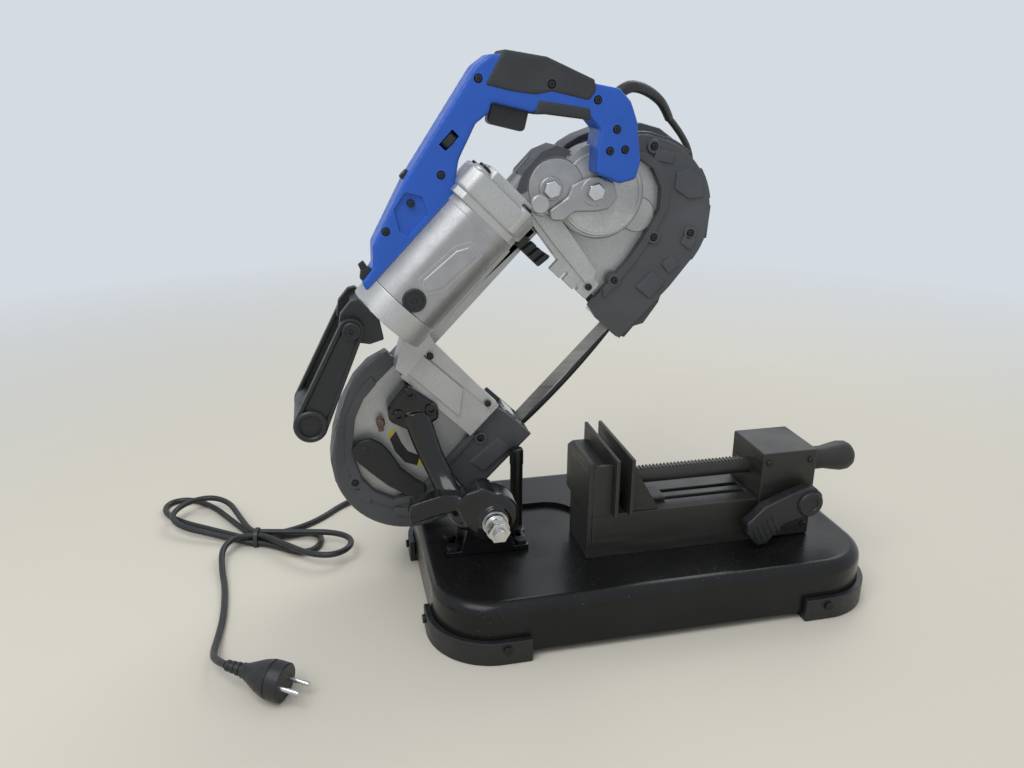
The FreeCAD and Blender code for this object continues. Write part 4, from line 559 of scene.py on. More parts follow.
def choose(piece, kind, test):
    """Edit mode, with only those edges or faces selected that pass the test."""
    open_up(piece, "DESELECT")
    bpy.ops.mesh.select_mode(type=kind)
    shape = bmesh.from_edit_mesh(piece.data)
    for part in (shape.edges if kind == "EDGE" else shape.faces):
        part.select_set(bool(test(part)))
    bmesh.update_edit_mesh(piece.data)


def new_face(sides, **where):
    """A flat face with that many corners, to be extruded."""
    bpy.ops.object.select_all(action="DESELECT")
    bpy.ops.mesh.primitive_circle_add(vertices=sides, fill_type="NGON", **where)
    return bpy.context.object


def extrude(step):
    bpy.ops.mesh.extrude_region_move(TRANSFORM_OT_translate={"value": step / 1000})


def slab(outline, start, end, axis="across"):
    """A block of that outline, from start to end on the axis that is square to it."""
    piece = new_face(len(outline))
    for corner, (first, second) in zip(piece.data.vertices, outline):
        spot = (start, first, second) if axis == "along" else (first, start, second)
        corner.co = Vector(spot) / 1000
    open_up(piece)
    extrude(axes[axis][0] * (end - start))
    return close_up(piece)


def turned(place, axis, profile, sides=40):
    """A turned piece on an axis through a place."""
    way, turn = axes[axis]
    spot = Vector(place) / 1000
    reach, radius = profile[0]
    piece = new_face(sides, radius=radius / 1000, rotation=turn, location=spot + way * reach / 1000)
    open_up(piece)
    for (reach, radius), (next_reach, next_radius) in zip(profile, profile[1:]):
        extrude(way * (next_reach - reach))
        grow = [1 if part else next_radius / radius for part in way]
        bpy.ops.transform.resize(value=grow, center_override=spot + way * next_reach / 1000)
    return close_up(piece)


def peg(spot, profile, sides=40):
    """A turned piece whose axis runs across the saw."""
    return turned((spot[0], 0, spot[1]), "across", profile, sides)


def modify(piece, kind, **settings):
    """Apply one modifier with those settings."""
    change = piece.modifiers.new(kind.lower(), kind)
    for name, value in settings.items():
        setattr(change, name, value)
    pick(piece)
    bpy.ops.object.modifier_apply(modifier=change.name)
    return piece


def soften(piece, width, steps=2, corner=30, keep_clear=True):
    """Round every corner that is sharper than the angle."""
    return modify(piece, "BEVEL", width=width / 1000, segments=steps, limit_method="ANGLE",
                  angle_limit=math.radians(corner), use_clamp_overlap=keep_clear)


def block(outline, start, end, width, steps=2, corner=30, axis="across"):
    """A slab with rounded edges."""
    return soften(slab(outline, start, end, axis), width, steps, corner)


print("modelling axes", list(axes))

# %% [markdown]
# Larger forms are cut, joined or given one relaxed skin, and a finished piece is put in its place.
# There it gets even shading, its finish, the moving body that carries it and the solid that it stands for.

# %% Cut, join and put in place


def mould(piece, grain, passes):
    """The even rounding of a moulding: one skin of small squares, relaxed a few times."""
    modify(piece, "REMESH", mode="VOXEL", voxel_size=grain / 1000)
    return modify(piece, "SMOOTH", iterations=passes)


def thin_out(piece, share=0.5):
    """Fewer triangles on a moulded skin."""
    return modify(piece, "DECIMATE", ratio=share)


def carve(piece, *cutters):
    """Cut a piece with others, which are then thrown away."""
    for cutter in cutters:
        modify(piece, "BOOLEAN", solver="EXACT", object=cutter)
        bpy.data.objects.remove(cutter)
    return piece


def gather(name, *pieces):
    """The pieces of one part made into one mesh of that name."""
    pick(*pieces)
    if len(pieces) > 1:
        bpy.ops.object.join()
    pieces[0].name = name
    return pieces[0]


def twin(piece, name):
    """A copy with its own mesh."""
    copy = bpy.data.objects.new(name, piece.data.copy())
    copy.matrix_world = piece.matrix_world
    bpy.context.scene.collection.objects.link(copy)
    return copy


def move(piece, place):
    """Move a piece from its own measures to a place in the room."""
    pick(piece)
    piece.matrix_world = place @ piece.matrix_world
    bpy.ops.object.transform_apply(location=True, rotation=True, scale=True)
    return piece


def lean(piece):
    """Put a piece made on the saw's ruler on the leaning saw."""
    return move(piece, saw_place)


def stand_up(piece):
    """Put a piece made on the stand's ruler on the stand."""
    return move(piece, Matrix.Translation((row_shift / 1000, 0, 0)))


def settle(piece, finish, body, hides=None, sharp=35):
    """Shade and dress a piece, and give it its body and the solid that it hides."""
    pick(piece)
    bpy.ops.object.shade_smooth_by_angle(angle=math.radians(sharp))
    modify(piece, "WEIGHTED_NORMAL", keep_sharp=True)
    piece.data.materials.clear()
    piece.data.materials.append(finish.material)
    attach(piece, body)
    if hides:
        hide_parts(hides)
    return piece


def fit_saw(name, finish, *pieces, body="saw", hides=None):
    """One part of the saw, from its pieces."""
    return settle(lean(gather(name, *pieces)), finish, body, hides)


def fit_stand(name, finish, *pieces, body="stand", hides=None):
    """One part of the stand, from its pieces."""
    return settle(stand_up(gather(name, *pieces)), finish, body, hides)


def solid_copy(name):
    """A merged copy of a solid, with flat faces in one piece."""
    copy = twin(nodes[name], name + "_rounded")
    open_up(copy)
    bpy.ops.mesh.remove_doubles(threshold=0.00002)
    bpy.ops.mesh.customdata_custom_splitnormals_clear()
    bpy.ops.mesh.dissolve_limited(angle_limit=math.radians(1))
    bpy.ops.object.mode_set(mode="OBJECT")
    return copy


def broken_edges(name, width):
    """A copy of a solid whose sharp edges are broken."""
    return soften(solid_copy(name), width, 2, 35, keep_clear=False)


print("saw leans", round(math.degrees(saw_lean)), "degrees")

# %% [markdown]
# ## Castings and pressings with broken edges
# The plain solids have knife edges, which catch no light and look drawn.
# Each of these keeps its shape, and a bevel breaks its edges by about what a file or a die radius would.

# %% Broken edges
edge_widths = {
    "frame": 1.0, "motor_end_cap": 1.2, "rear_covers": 1.0, "blade_channel": 1.5, "trigger": 1.8,
    "vise_channel": 1.2, "fixed_jaw": 1.2, "moving_jaw": 1.2, "corner_feet": 1.6, "hinge_tower": 1.2,
    "hinge_bolt": 0.5, "hinge_nut": 0.4, "stand_fasteners": 0.4, "speed_dial": 0.5, "idler_carriage": 0.6,
    "cord_tie": 0.4,
}
for name, width in edge_widths.items():
    settle(broken_edges(name, width), finish_of[name], nodes[name]["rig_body"], name)
print("pieces with broken edges", len(edge_widths))

# %% [markdown]
# ## The handle
# The handle is two blue mouldings that close on the switch and the wiring, with a seam down the middle.
# One outline is extruded and given a relaxed skin, which rounds it as a mould does, and cut at the seam.
# The barrel's saddle, the trigger's pocket, the dial's window and the screw holes are cut out of it.

# %% Handle halves
seam, motor_up = -31, 200
handle_outline = [
    (84, 229), (213, 229), (216, 243), (231, 253), (264, 263), (279.4, 260.7), (287, 265.3),
    (307.2, 231.9), (316, 225), (342, 191), (341, 175), (328, 166), (311, 150), (320, 126), (334, 117),
    (348, 125), (371, 154), (379, 172), (379, 188), (366, 207), (347, 255), (323, 286), (315, 294),
    (299, 297), (185, 277), (121, 259), (106, 245), (89, 244)]
handle_screws = [
    (293, 288), (336, 237), (357, 196), (352, 164), (334, 155), (345, 145), (210, 256), (139, 259),
    (173, 259)]
hollow_outline = [(158, 267), (177, 270), (185, 256), (176, 240), (150, 239), (147, 250)]
handle = gather("handle_near_half", mould(slab(handle_outline, -49.4, -12.6), 1.5, 8))
barrel_room = turned((0, seam, motor_up), "along", [(60, 40.6), (250, 40.6)], 72)
trigger_room = slab([(286, 264.3), (305.7, 231.4), (319.4, 239.6), (299.7, 272.5)], -39.3, -22.7)
dial_room = slab([(228, 266.6), (246, 266.6), (246, 275.4), (228, 275.4)], -56, seam)
hollow = block(hollow_outline, -56, -46, 2)
holes = [peg(spot, [(-56, 4.1), (-45.6, 4.1)], 24) for spot in handle_screws]
carve(handle, barrel_room, trigger_room, dial_room, hollow, gather("screw_holes", *holes))
far_half = twin(handle, "handle_far_half")
for half, gap, shell in ((handle, -0.12, "handle_near_shell"), (far_half, 0.12, "handle_far_shell")):
    choose(half, "FACE", lambda face: True)
    bpy.ops.mesh.bisect(plane_co=(0, (seam + gap) / 1000, 0), plane_no=(0, 1, 0), use_fill=True,
                        clear_outer=half is handle, clear_inner=half is far_half)
    settle(lean(thin_out(close_up(half))), blue_moulding, "saw", shell, sharp=40)
print("handle faces", len(handle.data.polygons), len(far_half.data.polygons))

# %% [markdown]
# ## Soft pads on the grip
# Two rubber pads are moulded over the grip, a large one on top and a small one behind the trigger finger.
# They wrap round the handle, so each is a band a little larger than the handle, with the same rounding.

# %% Grip pads
pad_outlines = [[(314, 285.5), (326.5, 288), (349.5, 256), (367, 211), (362, 203), (350.6, 201.5),
                 (331.6, 232.3), (318.9, 241.3), (306, 258.6), (293, 280)],
                [(318, 236.5), (306.6, 230), (313.6, 223), (340, 188), (347, 196), (333, 216)]]
pads = [mould(slab(outline, -50.6, -11.4), 1.3, 6) for outline in pad_outlines]
pad_holes = [peg(spot, [(-56, 4.1), (-46, 4.1)], 24) for spot in handle_screws[1:3]]
grip = carve(gather("grip_overmould", *pads), gather("pad_holes", *pad_holes))
settle(lean(thin_out(grip)), soft_grip, "saw", "grip_pads", sharp=40)
print("pad faces", len(grip.data.polygons))

# %% [markdown]
# ## Small screws
# The handle, the guards and the rails are held by black cross-head screws.
# One screw is turned, its cross is cut with two thin blocks, and it is copied to every place.

# %% Screws
guard_screws = [(376, 113), (315, 47), (256, 46), (345, 20), (-80, 103), (-50, 42), (40, 34), (-60, 20)]
rail_screws = [(232, -17.6, 66), (75, -19, 60), (74, -19, 140)]
screw = peg((0, 0), [(3, 2), (0.2, 3.6), (-1.2, 3.5), (-2, 2.9), (-2.3, 1.6)], 20)
for wide, high in ((2.2, 0.45), (0.45, 2.2)):
    carve(screw, slab([(-wide, -high), (wide, -high), (wide, high), (-wide, high)], -3, -0.9))
screw_spots = [(along, -45.6, up) for along, up in handle_screws]
screw_spots += [(along, -7, up) for along, up in guard_screws]
screws = []
for spot in screw_spots + rail_screws:
    copy = twin(screw, "small_screw")
    copy.location = Vector(spot) / 1000
    screws.append(copy)
bpy.data.objects.remove(screw)
fit_saw("small_screws", black_screw, *screws, hides="saw_screws")
print("screws", len(screws))

# %% [markdown]
# ## The motor
# The motor's barrel is cast with a flattened near side that carries a raised plate and a screwed brush cap.
# The barrel is a round outline with one side pressed flat, extruded along the motor's axis.
# The plate is left bare and sits on the flat side.

# %% Barrel, plate and brush caps


def flattened(radius, flat_side):
    """The barrel's round outline, with its near side pressed flat."""
    return [(max(across, flat_side), up) for across, up in arc((seam, motor_up), radius, 0, 355, 71)]


def mirrored(profile, shift=0):
    """The same profile on the far side of the handle's seam."""
    return [(2 * seam - reach + shift, radius) for reach, radius in profile]


barrel = block(flattened(40, -67.6), 100.1, 207, 0.8, 2, 40, "along")
foot = block([(104, 159), (204, 159), (204, 182), (104, 182)], -46, -4, 2)
welt = block(flattened(41.2, -69), 199, 207, 0.8, 2, 40, "along")
fit_saw("motor_barrel", smooth_silver, barrel, foot, welt, hides="motor_housing")
plate = block([(123, 199), (130, 208), (170, 203.5), (180, 197), (178, 186), (136, 190)], -69.2, -66, 1.2, 3)
rim = block([(117, 199), (127, 212), (172, 207.5), (186, 199), (183, 182), (133, 186)], -68.1, -66, 0.6)
fit_saw("bare_plate", smooth_silver, plate, rim)
cap_spot = (110.5, 201.5)
cap_steps = [
    (-52, 11), (-69.6, 11), (-70.5, 10.2), (-70.5, 8.4), (-69.2, 7.8), (-69.2, 3.4), (-67.8, 3),
    (-67.8, 0.4)]
caps = [peg(cap_spot, cap_steps), peg(cap_spot, mirrored(cap_steps, 3))]
fit_saw("brush_cap_pair", black_moulding, *caps, hides="brush_caps")
print("barrel faces", len(barrel.data.polygons))

# %% [markdown]
# ## The gear head
# A squarer casting closes the barrel and turns the drive through a right angle.
# It is an extruded outline with heavy rounding, a narrower collar and neck, and four lugs for socket screws.

# %% Gear head
head_outline = [
    (-72, 186), (-66, 170), (-50, 160), (-12, 160), (4, 168), (10, 184), (10, 216), (4, 232), (-12, 241),
    (-50, 244), (-62, 244), (-72, 234)]


def shrunk(wide, high, middle):
    """The head's outline, drawn in about the seam and set at another height."""
    return [(seam + (across - seam) * wide, middle + (up - motor_up) * high) for across, up in head_outline]


head = block(head_outline, 213.4, 238, 4, 3, axis="along")
collar = block(shrunk(0.94, 0.94, motor_up), 206.6, 214.5, 1.2, axis="along")
lug_spots = [(0, -58, 233), (0, -61, 180), (0, -4, 178), (0, -8, 230)]
lug_steps = [(214.6, 8), (216, 9.5), (238, 9.5), (240, 8)]
lugs = [turned(spot, "along", lug_steps, 28) for spot in lug_spots]
neck = block(shrunk(0.8, 0.74, motor_up - 2), 236, 247, 2, axis="along")
fit_saw("gear_head_cast", cast_silver, head, collar, *lugs, neck, hides="gear_head")
socket_steps = [(236, 6), (242.4, 6), (243, 5.4), (243, 3.2), (239.6, 3.2), (239.6, 0.3)]
sockets = [turned(spot, "along", socket_steps, 24) for spot in lug_spots]
fit_saw("head_socket_screws", black_screw, *sockets)
print("gear head faces", len(head.data.polygons))

# %% [markdown]
# ## The gear case and its link plate
# Two round covers hold the reduction gears: a smooth small one and a large one with a machined rim.
# A link plate with two bright hexagon bolts ties them, and a cap closes the drive shaft's bearing.
# The case's neck is cut down, and a dark shroud that is hollow inside goes over it.

# %% Covers, link plate and bolts
idler_centre, drive_centre = (-25, 74), (320, 74)
small_centre, large_centre = (278, 163), (305, 125)
neck_top = 195
neck_cutter = slab([(250, 230), (250, neck_top), (330, neck_top), (330, 230)], -60, 10)
gear_case = carve(broken_edges("gear_case", 1.2), lean(neck_cutter))
settle(gear_case, smooth_silver, "saw", "gear_case")
shroud_outline = [(249, 184), (249, 189), (266, 196.8), (291, 196.8), (306, 190), (312, 176)]
shroud = slab(shroud_outline + arc(small_centre, 28.6, 25, 140, 12), -26.8, 14)
hollow_top = neck_top + 0.2
shroud_hollow = slab([(240, 176), (240, hollow_top), (286, hollow_top), (286, 176)], -25.2, 15)
fit_saw("neck_shroud", guard_nylon, soften(carve(shroud, shroud_hollow), 0.6))
small_cover = peg(small_centre, [(-2, 28), (-25, 28), (-26.4, 26.6), (-26.4, 0.4)], 64)
fit_saw("small_gear_cover", smooth_silver, small_cover)
large_steps = [
    (-1, 45), (-20.5, 45), (-22.5, 43), (-22.5, 41.5), (-25.4, 41), (-25.9, 40.4), (-25.9, 38.6),
    (-25.1, 38), (-25.1, 0.4)]
large_cover = peg(large_centre, large_steps, 96)
bearing_cap = peg(drive_centre, [(0.5, 18), (-2.4, 18), (-3.4, 17), (-3.4, 0.4)], 48)
fit_saw("large_gear_cover", sparkle_silver, large_cover, bearing_cap, hides="shaft_bearings")
link_outline = [
    (303, 149), (316, 138), (321, 125), (313, 111), (299, 110), (288, 118), (274, 133), (259, 136),
    (252, 145), (257, 154), (279, 149), (290, 154)]
link = soften(block(link_outline, -30.5, -25, 5, 3, 20), 0.9)
pad = peg((273.5, 166), [(-25, 11.5), (-28, 11.5), (-28.8, 10.6), (-28.8, 0.4)])
boss = peg((301, 133), [(-29, 14), (-31, 14), (-31.8, 13.2), (-31.8, 0.4)])
fit_saw("link_plate_cast", smooth_silver, link, pad, boss, hides="gear_link_plate")
hexagon = [(0, 9), (-5.6, 9), (-6.6, 8), (-6.9, 0.4)]
bolts = [turned(spot, "across", hexagon, 6) for spot in ((273.5, -28.6, 166), (301, -31.6, 133))]
fit_saw("link_bolts", bright_zinc, soften(gather("link_bolts", *bolts), 0.5), hides="saw_bolts")
print("case faces", len(gear_case.data.polygons), "bolts", len(bolts))

# %% [markdown]
# ## Rails on the frame
# The frame carries two thick rails, cast in one with it, that reach down to the blade guides.
# Their steps, bosses and ribs, the deck's edge and the black vent beside the drive rail are added to it.

# %% Rail steps
rail_blocks = [
    ([(46, 146), (70, 146), (70, 90), (45, 72)], -21.5, -16),
    ([(71, 153), (87, 149), (81, 51), (71, 51)], -19.5, -16),
    ([(43, 160), (74, 176), (92, 160), (88, 148), (44, 146)], -30, -2),
    ([(245, 168), (259, 169), (264, 151), (249, 71), (232, 62), (238, 120)], -19, -12),
    ([(221, 58), (233, 58), (236, 72), (221, 72)], -17.6, -8),
    ([(219, 75), (235, 75), (237, 90), (219, 90)], -16.6, -8),
    ([(218, 93), (236, 93), (239, 108), (218, 108)], -15.6, -8),
]
deck_edge = [
    (46, 164), (37, 165), (8, 166), (-15, 159), (-33, 150), (-52, 138), (-66, 122), (-40, 112), (0, 136),
    (46, 146)]
rails = [block(outline, near, far, 1.1) for outline, near, far in rail_blocks]
rails.append(slab(deck_edge, 0.1, 5))
rails.append(peg((255.5, 165), [(-20, 9.2), (-32.8, 9.2), (-34, 8), (-34, 0.3)], 36))
rails.append(peg((256, 160), [(-12, 10), (-24, 10), (-25.4, 8.6), (-25.4, 0.4)], 36))
fit_saw("frame_rails", cast_silver, *rails)
vent = [slab([(212, 116), (228, 114), (222, 150), (212, 154)], -8, -2)]
vent += [slab([(213, up), (226, up - 2), (226, up + 4), (213, up + 6)], -13, -3) for up in range(117, 150, 9)]
fit_saw("drive_vent", black_moulding, soften(gather("drive_vent", *vent), 0.6))
print("rail blocks", len(rails))

# %% [markdown]
# ## The blade guards
# The guards are dark nylon drums round the wheels. A flat lip laps over the frame's deck on the near side,
# a raised band follows its inner edge, and bosses carry the screws.
# The lip's outer and inner edges make one closed outline. It is extruded, and its rim is bevelled to a slope.

# %% Guard lips
rim_slope = 0.006


def millimetres(*values):
    return tuple(round(value, 2) for value in values)


def ring_plate(outer, inner, near, far):
    """A flat plate between two open outlines that start and end side by side, with a sloped outer edge."""
    plate = slab(outer + inner[::-1], near, far)
    rim = {millimetres(*spot) for spot in outer[1:-1]}

    def on_rim(edge):
        spots = {millimetres(corner.co.x * 1000, corner.co.z * 1000) for corner in edge.verts}
        return spots <= rim and all(abs(corner.co.y * 1000 - near) < 0.01 for corner in edge.verts)

    choose(plate, "EDGE", on_rim)
    bpy.ops.mesh.bevel(offset=rim_slope, segments=1, affect="EDGES", clamp_overlap=True)
    return soften(close_up(plate), 0.9, 2, 25)


idler_outer = [(47, 172), (40, 176), (20, 180), (4, 178), (-14, 172), (-32, 164), (-55, 151)]
idler_outer += arc(idler_centre, 80.5, 128, 266, 24) + [(30, -7), (78, -8), (78, 30)]
idler_inner = [
    (44, 157), (16, 158), (-5, 157), (-26, 150), (-49, 133), (-62, 119), (-73, 100), (-76, 80), (-70, 58),
    (-52, 46), (-25, 42), (0, 44), (36, 45), (76, 45)]
drive_outer = arc(drive_centre, 78.6, 84, 40, 8) + arc(drive_centre, 77.4, 30, -80, 20)
drive_outer += [(292, -6), (256, -6), (217, -5), (215, 30)]
drive_inner = [
    (326, 140), (345, 130), (357.7, 115), (361, 98), (354, 77), (339, 63), (325, 58.4), (306, 54),
    (282, 49.5), (241, 48.3), (219, 46.5)]
guard_forms = []
for outer, inner, middle in ((idler_outer, idler_inner, (0, 86)), (drive_outer, drive_inner, (290, 110))):
    guard_forms.append(ring_plate(outer, inner, -8, -0.4))
    band = inner[1:-1] + [(along + (along - middle[0]) * 0.13, up + (up - middle[1]) * 0.13)
                          for along, up in inner[1:-1]][::-1]
    guard_forms.append(block(band, -10.4, -6, 1.2, 2, 25))
boss_steps = [(-5, 8.6), (-10.2, 7), (-11, 6.4), (-11, 4.2), (-8.6, 4)]
guard_forms += [peg(spot, boss_steps, 28) for spot in guard_screws]
print("lips and bosses", len(guard_forms))

# %% [markdown]
# Raised blocks stiffen the lips, ribs and a crown lie round the outside of each drum, and tabs hang below it.
# The drums themselves are copies of their solids, kept under the lips and drawn in a little at the drive end.

# %% Guard blocks and ribs
near_blocks = [[(376, 77), (388, 69), (391, 51), (379, 37), (367, 47), (363, 66)],
               [(366, 104), (377, 110), (388, 92), (378, 86)], [(300, 6), (316, 4), (316, 18), (302, 20)],
               [(333, 6), (346, 10), (341, 24), (330, 20)], [(268, 2), (292, 2), (290, 22), (266, 24)],
               [(-92, 92), (-84, 96), (-80, 78), (-90, 74)], [(-84, 46), (-76, 52), (-66, 36), (-74, 28)],
               [(14, 4), (52, 0), (54, 20), (12, 24)]]
guard_forms += [block(outline, -11, -5, 2.2) for outline in near_blocks]
rib_spans = [(drive_centre, ((-36, -12), (2, 24), (34, 58), (-84, -58))),
             (idler_centre, ((108, 132), (146, 170), (184, 206), (222, 250)))]
for centre, spans in rib_spans:
    for first, last in spans:
        rib = arc(centre, 81.4, first, last, 6) + arc(centre, 75, last, first, 6)
        guard_forms.append(block(rib, -2, 44, 1.4, 2, 40))
drive_crown = [
    (252, 150), (255, 168), (272, 175), (320, 174), (334, 170), (362, 156), (388, 131), (398, 113),
    (402, 90), (396, 88), (390, 106), (376, 128), (354, 150), (330, 160), (300, 160), (262, 156)]
idler_crown = [
    (40, 162), (19, 169), (-3, 169), (-34, 161), (-62, 147), (-85, 131), (-100, 112), (-107, 95),
    (-108, 76), (-102, 76), (-99, 98), (-89, 116), (-75, 130), (-55, 143), (-32, 152), (0, 155),
    (38, 146)]
guard_forms += [block(outline, 14, 50, 1.8, 2, 25) for outline in (drive_crown, idler_crown)]
outer_tabs = [[(381.5, 33), (381, 20.5), (355, -1.5), (348, 8)],
              [(292, -2), (273, -12), (246, -16), (237, -10), (221, -11), (219, 0)]]
guard_forms += [block(outline, -3, 14, 1.5) for outline in outer_tabs]
guard = fit_saw("guard_lips", guard_nylon, *guard_forms)
under_lip = hinge.y + 0.8 / 1000
drum_reach, drawn_in = 75, 3
for name in ("idler_guard", "drive_guard"):
    drum = solid_copy(name)
    for vertex in drum.data.vertices:
        vertex.co.y = max(vertex.co.y, under_lip)
        spot = saw_place.inverted() @ vertex.co * 1000
        out = Vector((spot.x - drive_centre[0], 0, spot.z - drive_centre[1]))
        share = min(max((spot.x - 300) / 30, 0), 1) * min(max((112 - spot.z) / 40, 0), 1)
        if out.length > drum_reach:
            vertex.co = saw_place @ ((spot - out.normalized() * drawn_in * share) / 1000)
    settle(soften(drum, 1.2, 2, 35, keep_clear=False), guard_nylon, "saw", name)
print("guard faces", len(guard.data.polygons))

# %% [markdown]
# The backs of the guards are flat covers. A low ring with spokes and a disc stiffens each one,
# as is usual on a moulded cover, and four screws hold it.

# %% Ribs and screws of the rear covers
rear_face = 54
rear_root = rear_face - 1
spoke_turns, screw_turns = (40, 112, 184, 256, 328), (20, 110, 200, 290)
disc_steps = [(rear_root, 24), (rear_face + 1.6, 24), (rear_face + 2.4, 23.2), (rear_face + 2.4, 0.3)]
head_steps = [(rear_root, 3.8), (rear_face + 1.4, 3.8), (rear_face + 2.2, 3), (rear_face + 2.2, 1.6),
              (rear_face + 1, 1.4), (rear_face + 1, 0.3)]
rear_ribs, rear_heads = [], []
for centre in (drive_centre, idler_centre):
    band = arc(centre, 66, -170, 170, 48) + arc(centre, 61, 170, -170, 48)
    rear_ribs.append(block(band, rear_root, rear_face + 1.6, 0.6, 2, 40))
    rear_ribs.append(peg(centre, disc_steps, 48))
    for turn in spoke_turns:
        spoke = arc(centre, 22, turn - 6, turn + 6, 1) + arc(centre, 62, turn + 2, turn - 2, 1)
        rear_ribs.append(block(spoke, rear_root, rear_face + 1.2, 0.5))
    rear_heads += [peg(arc(centre, 72.5, turn, turn, 1)[0], head_steps, 20) for turn in screw_turns]
fit_saw("rear_ribs", guard_nylon, *rear_ribs)
fit_saw("rear_screws", black_screw, *rear_heads)
print("rear ribs", len(rear_ribs), "screws", len(rear_heads))

# %% [markdown]
# ## The bail handle
# A swinging bail at the motor's lower end helps to carry and to pull the saw.
# Each arm is an extruded outline whose face is inset and pushed in, which leaves a raised border.
# A bracket with two cheeks carries the bail on two pivots.

# %% Bail
bail_pivot, pivot_reach = (52, 226), 11.5
bail_tip, tip_reach = (-42, 194), 16
bail_turn = math.degrees(math.atan2(bail_tip[1] - bail_pivot[1], bail_tip[0] - bail_pivot[0]))
arm_outline = arc(bail_pivot, pivot_reach, bail_turn + 96, bail_turn + 264, 10)
arm_outline += arc(bail_tip, tip_reach, bail_turn - 84, bail_turn + 84, 10)
bail_forms = []
for near, far in ((-70.5, -62.5), (0.5, 8.5)):
    arm = slab(arm_outline, near, far)
    choose(arm, "FACE", lambda face: abs(face.normal.y) > 0.9)
    bpy.ops.mesh.inset(thickness=0.0035, depth=0)
    bpy.ops.mesh.inset(thickness=0.0012, depth=-0.0024)
    bail_forms.append(soften(close_up(arm), 0.9))
grip_steps = [
    (-44, 9.6), (-71.6, 10.6), (-72.4, 11.6), (-72.4, 14.2), (-71, 15.6), (9, 15.6), (10.4, 14.2),
    (10.4, 11.6), (9.6, 10.6), (-18, 9.6)]
bail_forms.append(peg(bail_tip, grip_steps, 48))
bail = fit_saw("bail_frame", black_moulding, *bail_forms, body="bail", hides="bail_handle")
pivot_steps = [
    (-66, 8.5), (-72.6, 8.5), (-73.4, 7.7), (-73.4, 6), (-72.2, 5.4), (-72.2, 3), (-70, 2.8), (-70, 0.3)]
cheek = [(71, 243), (77, 239), (77, 214), (64, 196), (52, 203), (43, 217), (43, 233), (56, 242)]
mount = [block(cheek, -62.3, -54, 1.2), block(cheek, -8, 0.3, 1.2)]
mount.append(block([(66, 238), (77, 236), (77, 222), (66, 220)], -56, -6, 1.2))
mount += [peg(bail_pivot, steps, 32) for steps in (pivot_steps, mirrored(pivot_steps))]
fit_saw("bail_mount", black_moulding, *mount, hides="bail_bracket")
print("bail faces", len(bail.data.polygons))

# %% [markdown]
# ## The arm that joins the saw to the stand
# The arm is a black casting that sweeps from the hinge up to a block bolted to the saw's frame.
# A copy of its solid, drawn a little outwards in the middle, a web, a flared hub, a leg and a round ridge
# are fused into one skin and relaxed, which leaves the soft fillets of a casting.

# %% Arm, block and bolts
arm = solid_copy("mount_arm")
arm_low, arm_rise, arm_sway = 0.005, 0.105, Vector((0.0042, 0, -0.0043))
for vertex in arm.data.vertices:
    spot = saw_place.inverted() @ vertex.co
    share = math.sin(math.pi * min(max((spot.z - arm_low) / arm_rise, 0), 1))
    vertex.co = saw_place @ (spot + share * arm_sway)
web_outline = [
    (-205, 136), (-195, 147), (-180, 151), (-159, 140), (-147, 125), (-146, 106), (-160, 93), (-178, 93),
    (-194, 110)]
leg_outline = [
    (-220, 146), (-233, 143), (-248, 139), (-251, 127), (-249, 117), (-226, 124), (-204, 127),
    (-190, 112), (-180, 140)]
web = slab(web_outline, -70, -42)
hub = peg((-168, 116.5), [(-71, 22), (-67, 27), (-41, 28), (-41, 0.3)], 48)
leg = slab(leg_outline, -66, -48)
ridge_spots = [(24, -20, 108), (2, -25, 74), (-12, -40, 41), (-10, -78, 14), (4, -82, 2)]
ridge = thicken(smooth_line("arm_ridge", [on_saw(*spot) for spot in ridge_spots]), 0.0095)
arm = gather("cast_arm", arm, stand_up(web), stand_up(hub), stand_up(leg), ridge)
settle(thin_out(mould(arm, 1.6, 6)), arm_enamel, "saw", "mount_arm", sharp=50)
block_forms = [block([(6, 137), (37, 139), (41, 99), (31, 88), (3, 98), (-4, 125)], -26, -0.3, 4.5, 3)]
bolt_steps = [(-24, 6), (-28.6, 6), (-29.4, 5.3), (-29.4, 3.2), (-26.5, 3), (-26.5, 0.3)]
block_forms += [peg(spot, bolt_steps, 24) for spot in ((8, 124), (33, 131), (34, 103))]
fit_saw("arm_block", arm_enamel, *block_forms, hides="arm_bracket")
print("arm faces", len(arm.data.polygons))

# %% [markdown]
# ## The tension lever and its bare label
# A curved lever slackens the blade. Behind it a black arc with two yellow ends marks its travel.
# The words of the real label are left off, so it stays a plain arc. A small bronze stud stands beside it.

# %% Tension lever and arc
label_near, label_far = -0.5, 0.2
lever_outline = [
    (-54, 131), (-42, 132), (-32, 125), (-29, 112), (-31, 98), (-37, 78), (-37, 58), (-35, 45), (-42, 38),
    (-51, 39), (-57, 52), (-61, 75), (-61, 100), (-60, 122)]
lever = block(lever_outline, -14.8, -8.3, 2.4, 3)
lever_pin = peg((-46, 121), [(-12, 4.5), (-15.4, 4.5), (-16, 3.8), (-16, 0.3)], 28)
fit_saw("tension_lever_cast", black_moulding, lever, lever_pin, body="tension", hides="tension_lever")
label_outline = [
    (-23.4, 104.4), (-30.3, 90.8), (-33.2, 74.6), (-27.9, 61.8), (-17.6, 67.1), (-21.7, 80), (-19, 91.7),
    (-12.8, 105.2)]
fit_saw("travel_arc", black_moulding, slab(label_outline, label_near, label_far))
label_ends = [[(-24, 105.6), (-21.5, 109.5), (-12.2, 109.8), (-12.4, 105.6)],
              [(-28, 61.4), (-25.4, 58.4), (-16, 63.4), (-17.6, 66.8)]]
fit_saw("travel_ends", label_yellow, *[slab(outline, label_near, label_far) for outline in label_ends])
stud = peg((-14, 126), [(0.2, 4.4), (-8.4, 4.4), (-9.4, 3.4), (-9.4, 0.3)], 24)
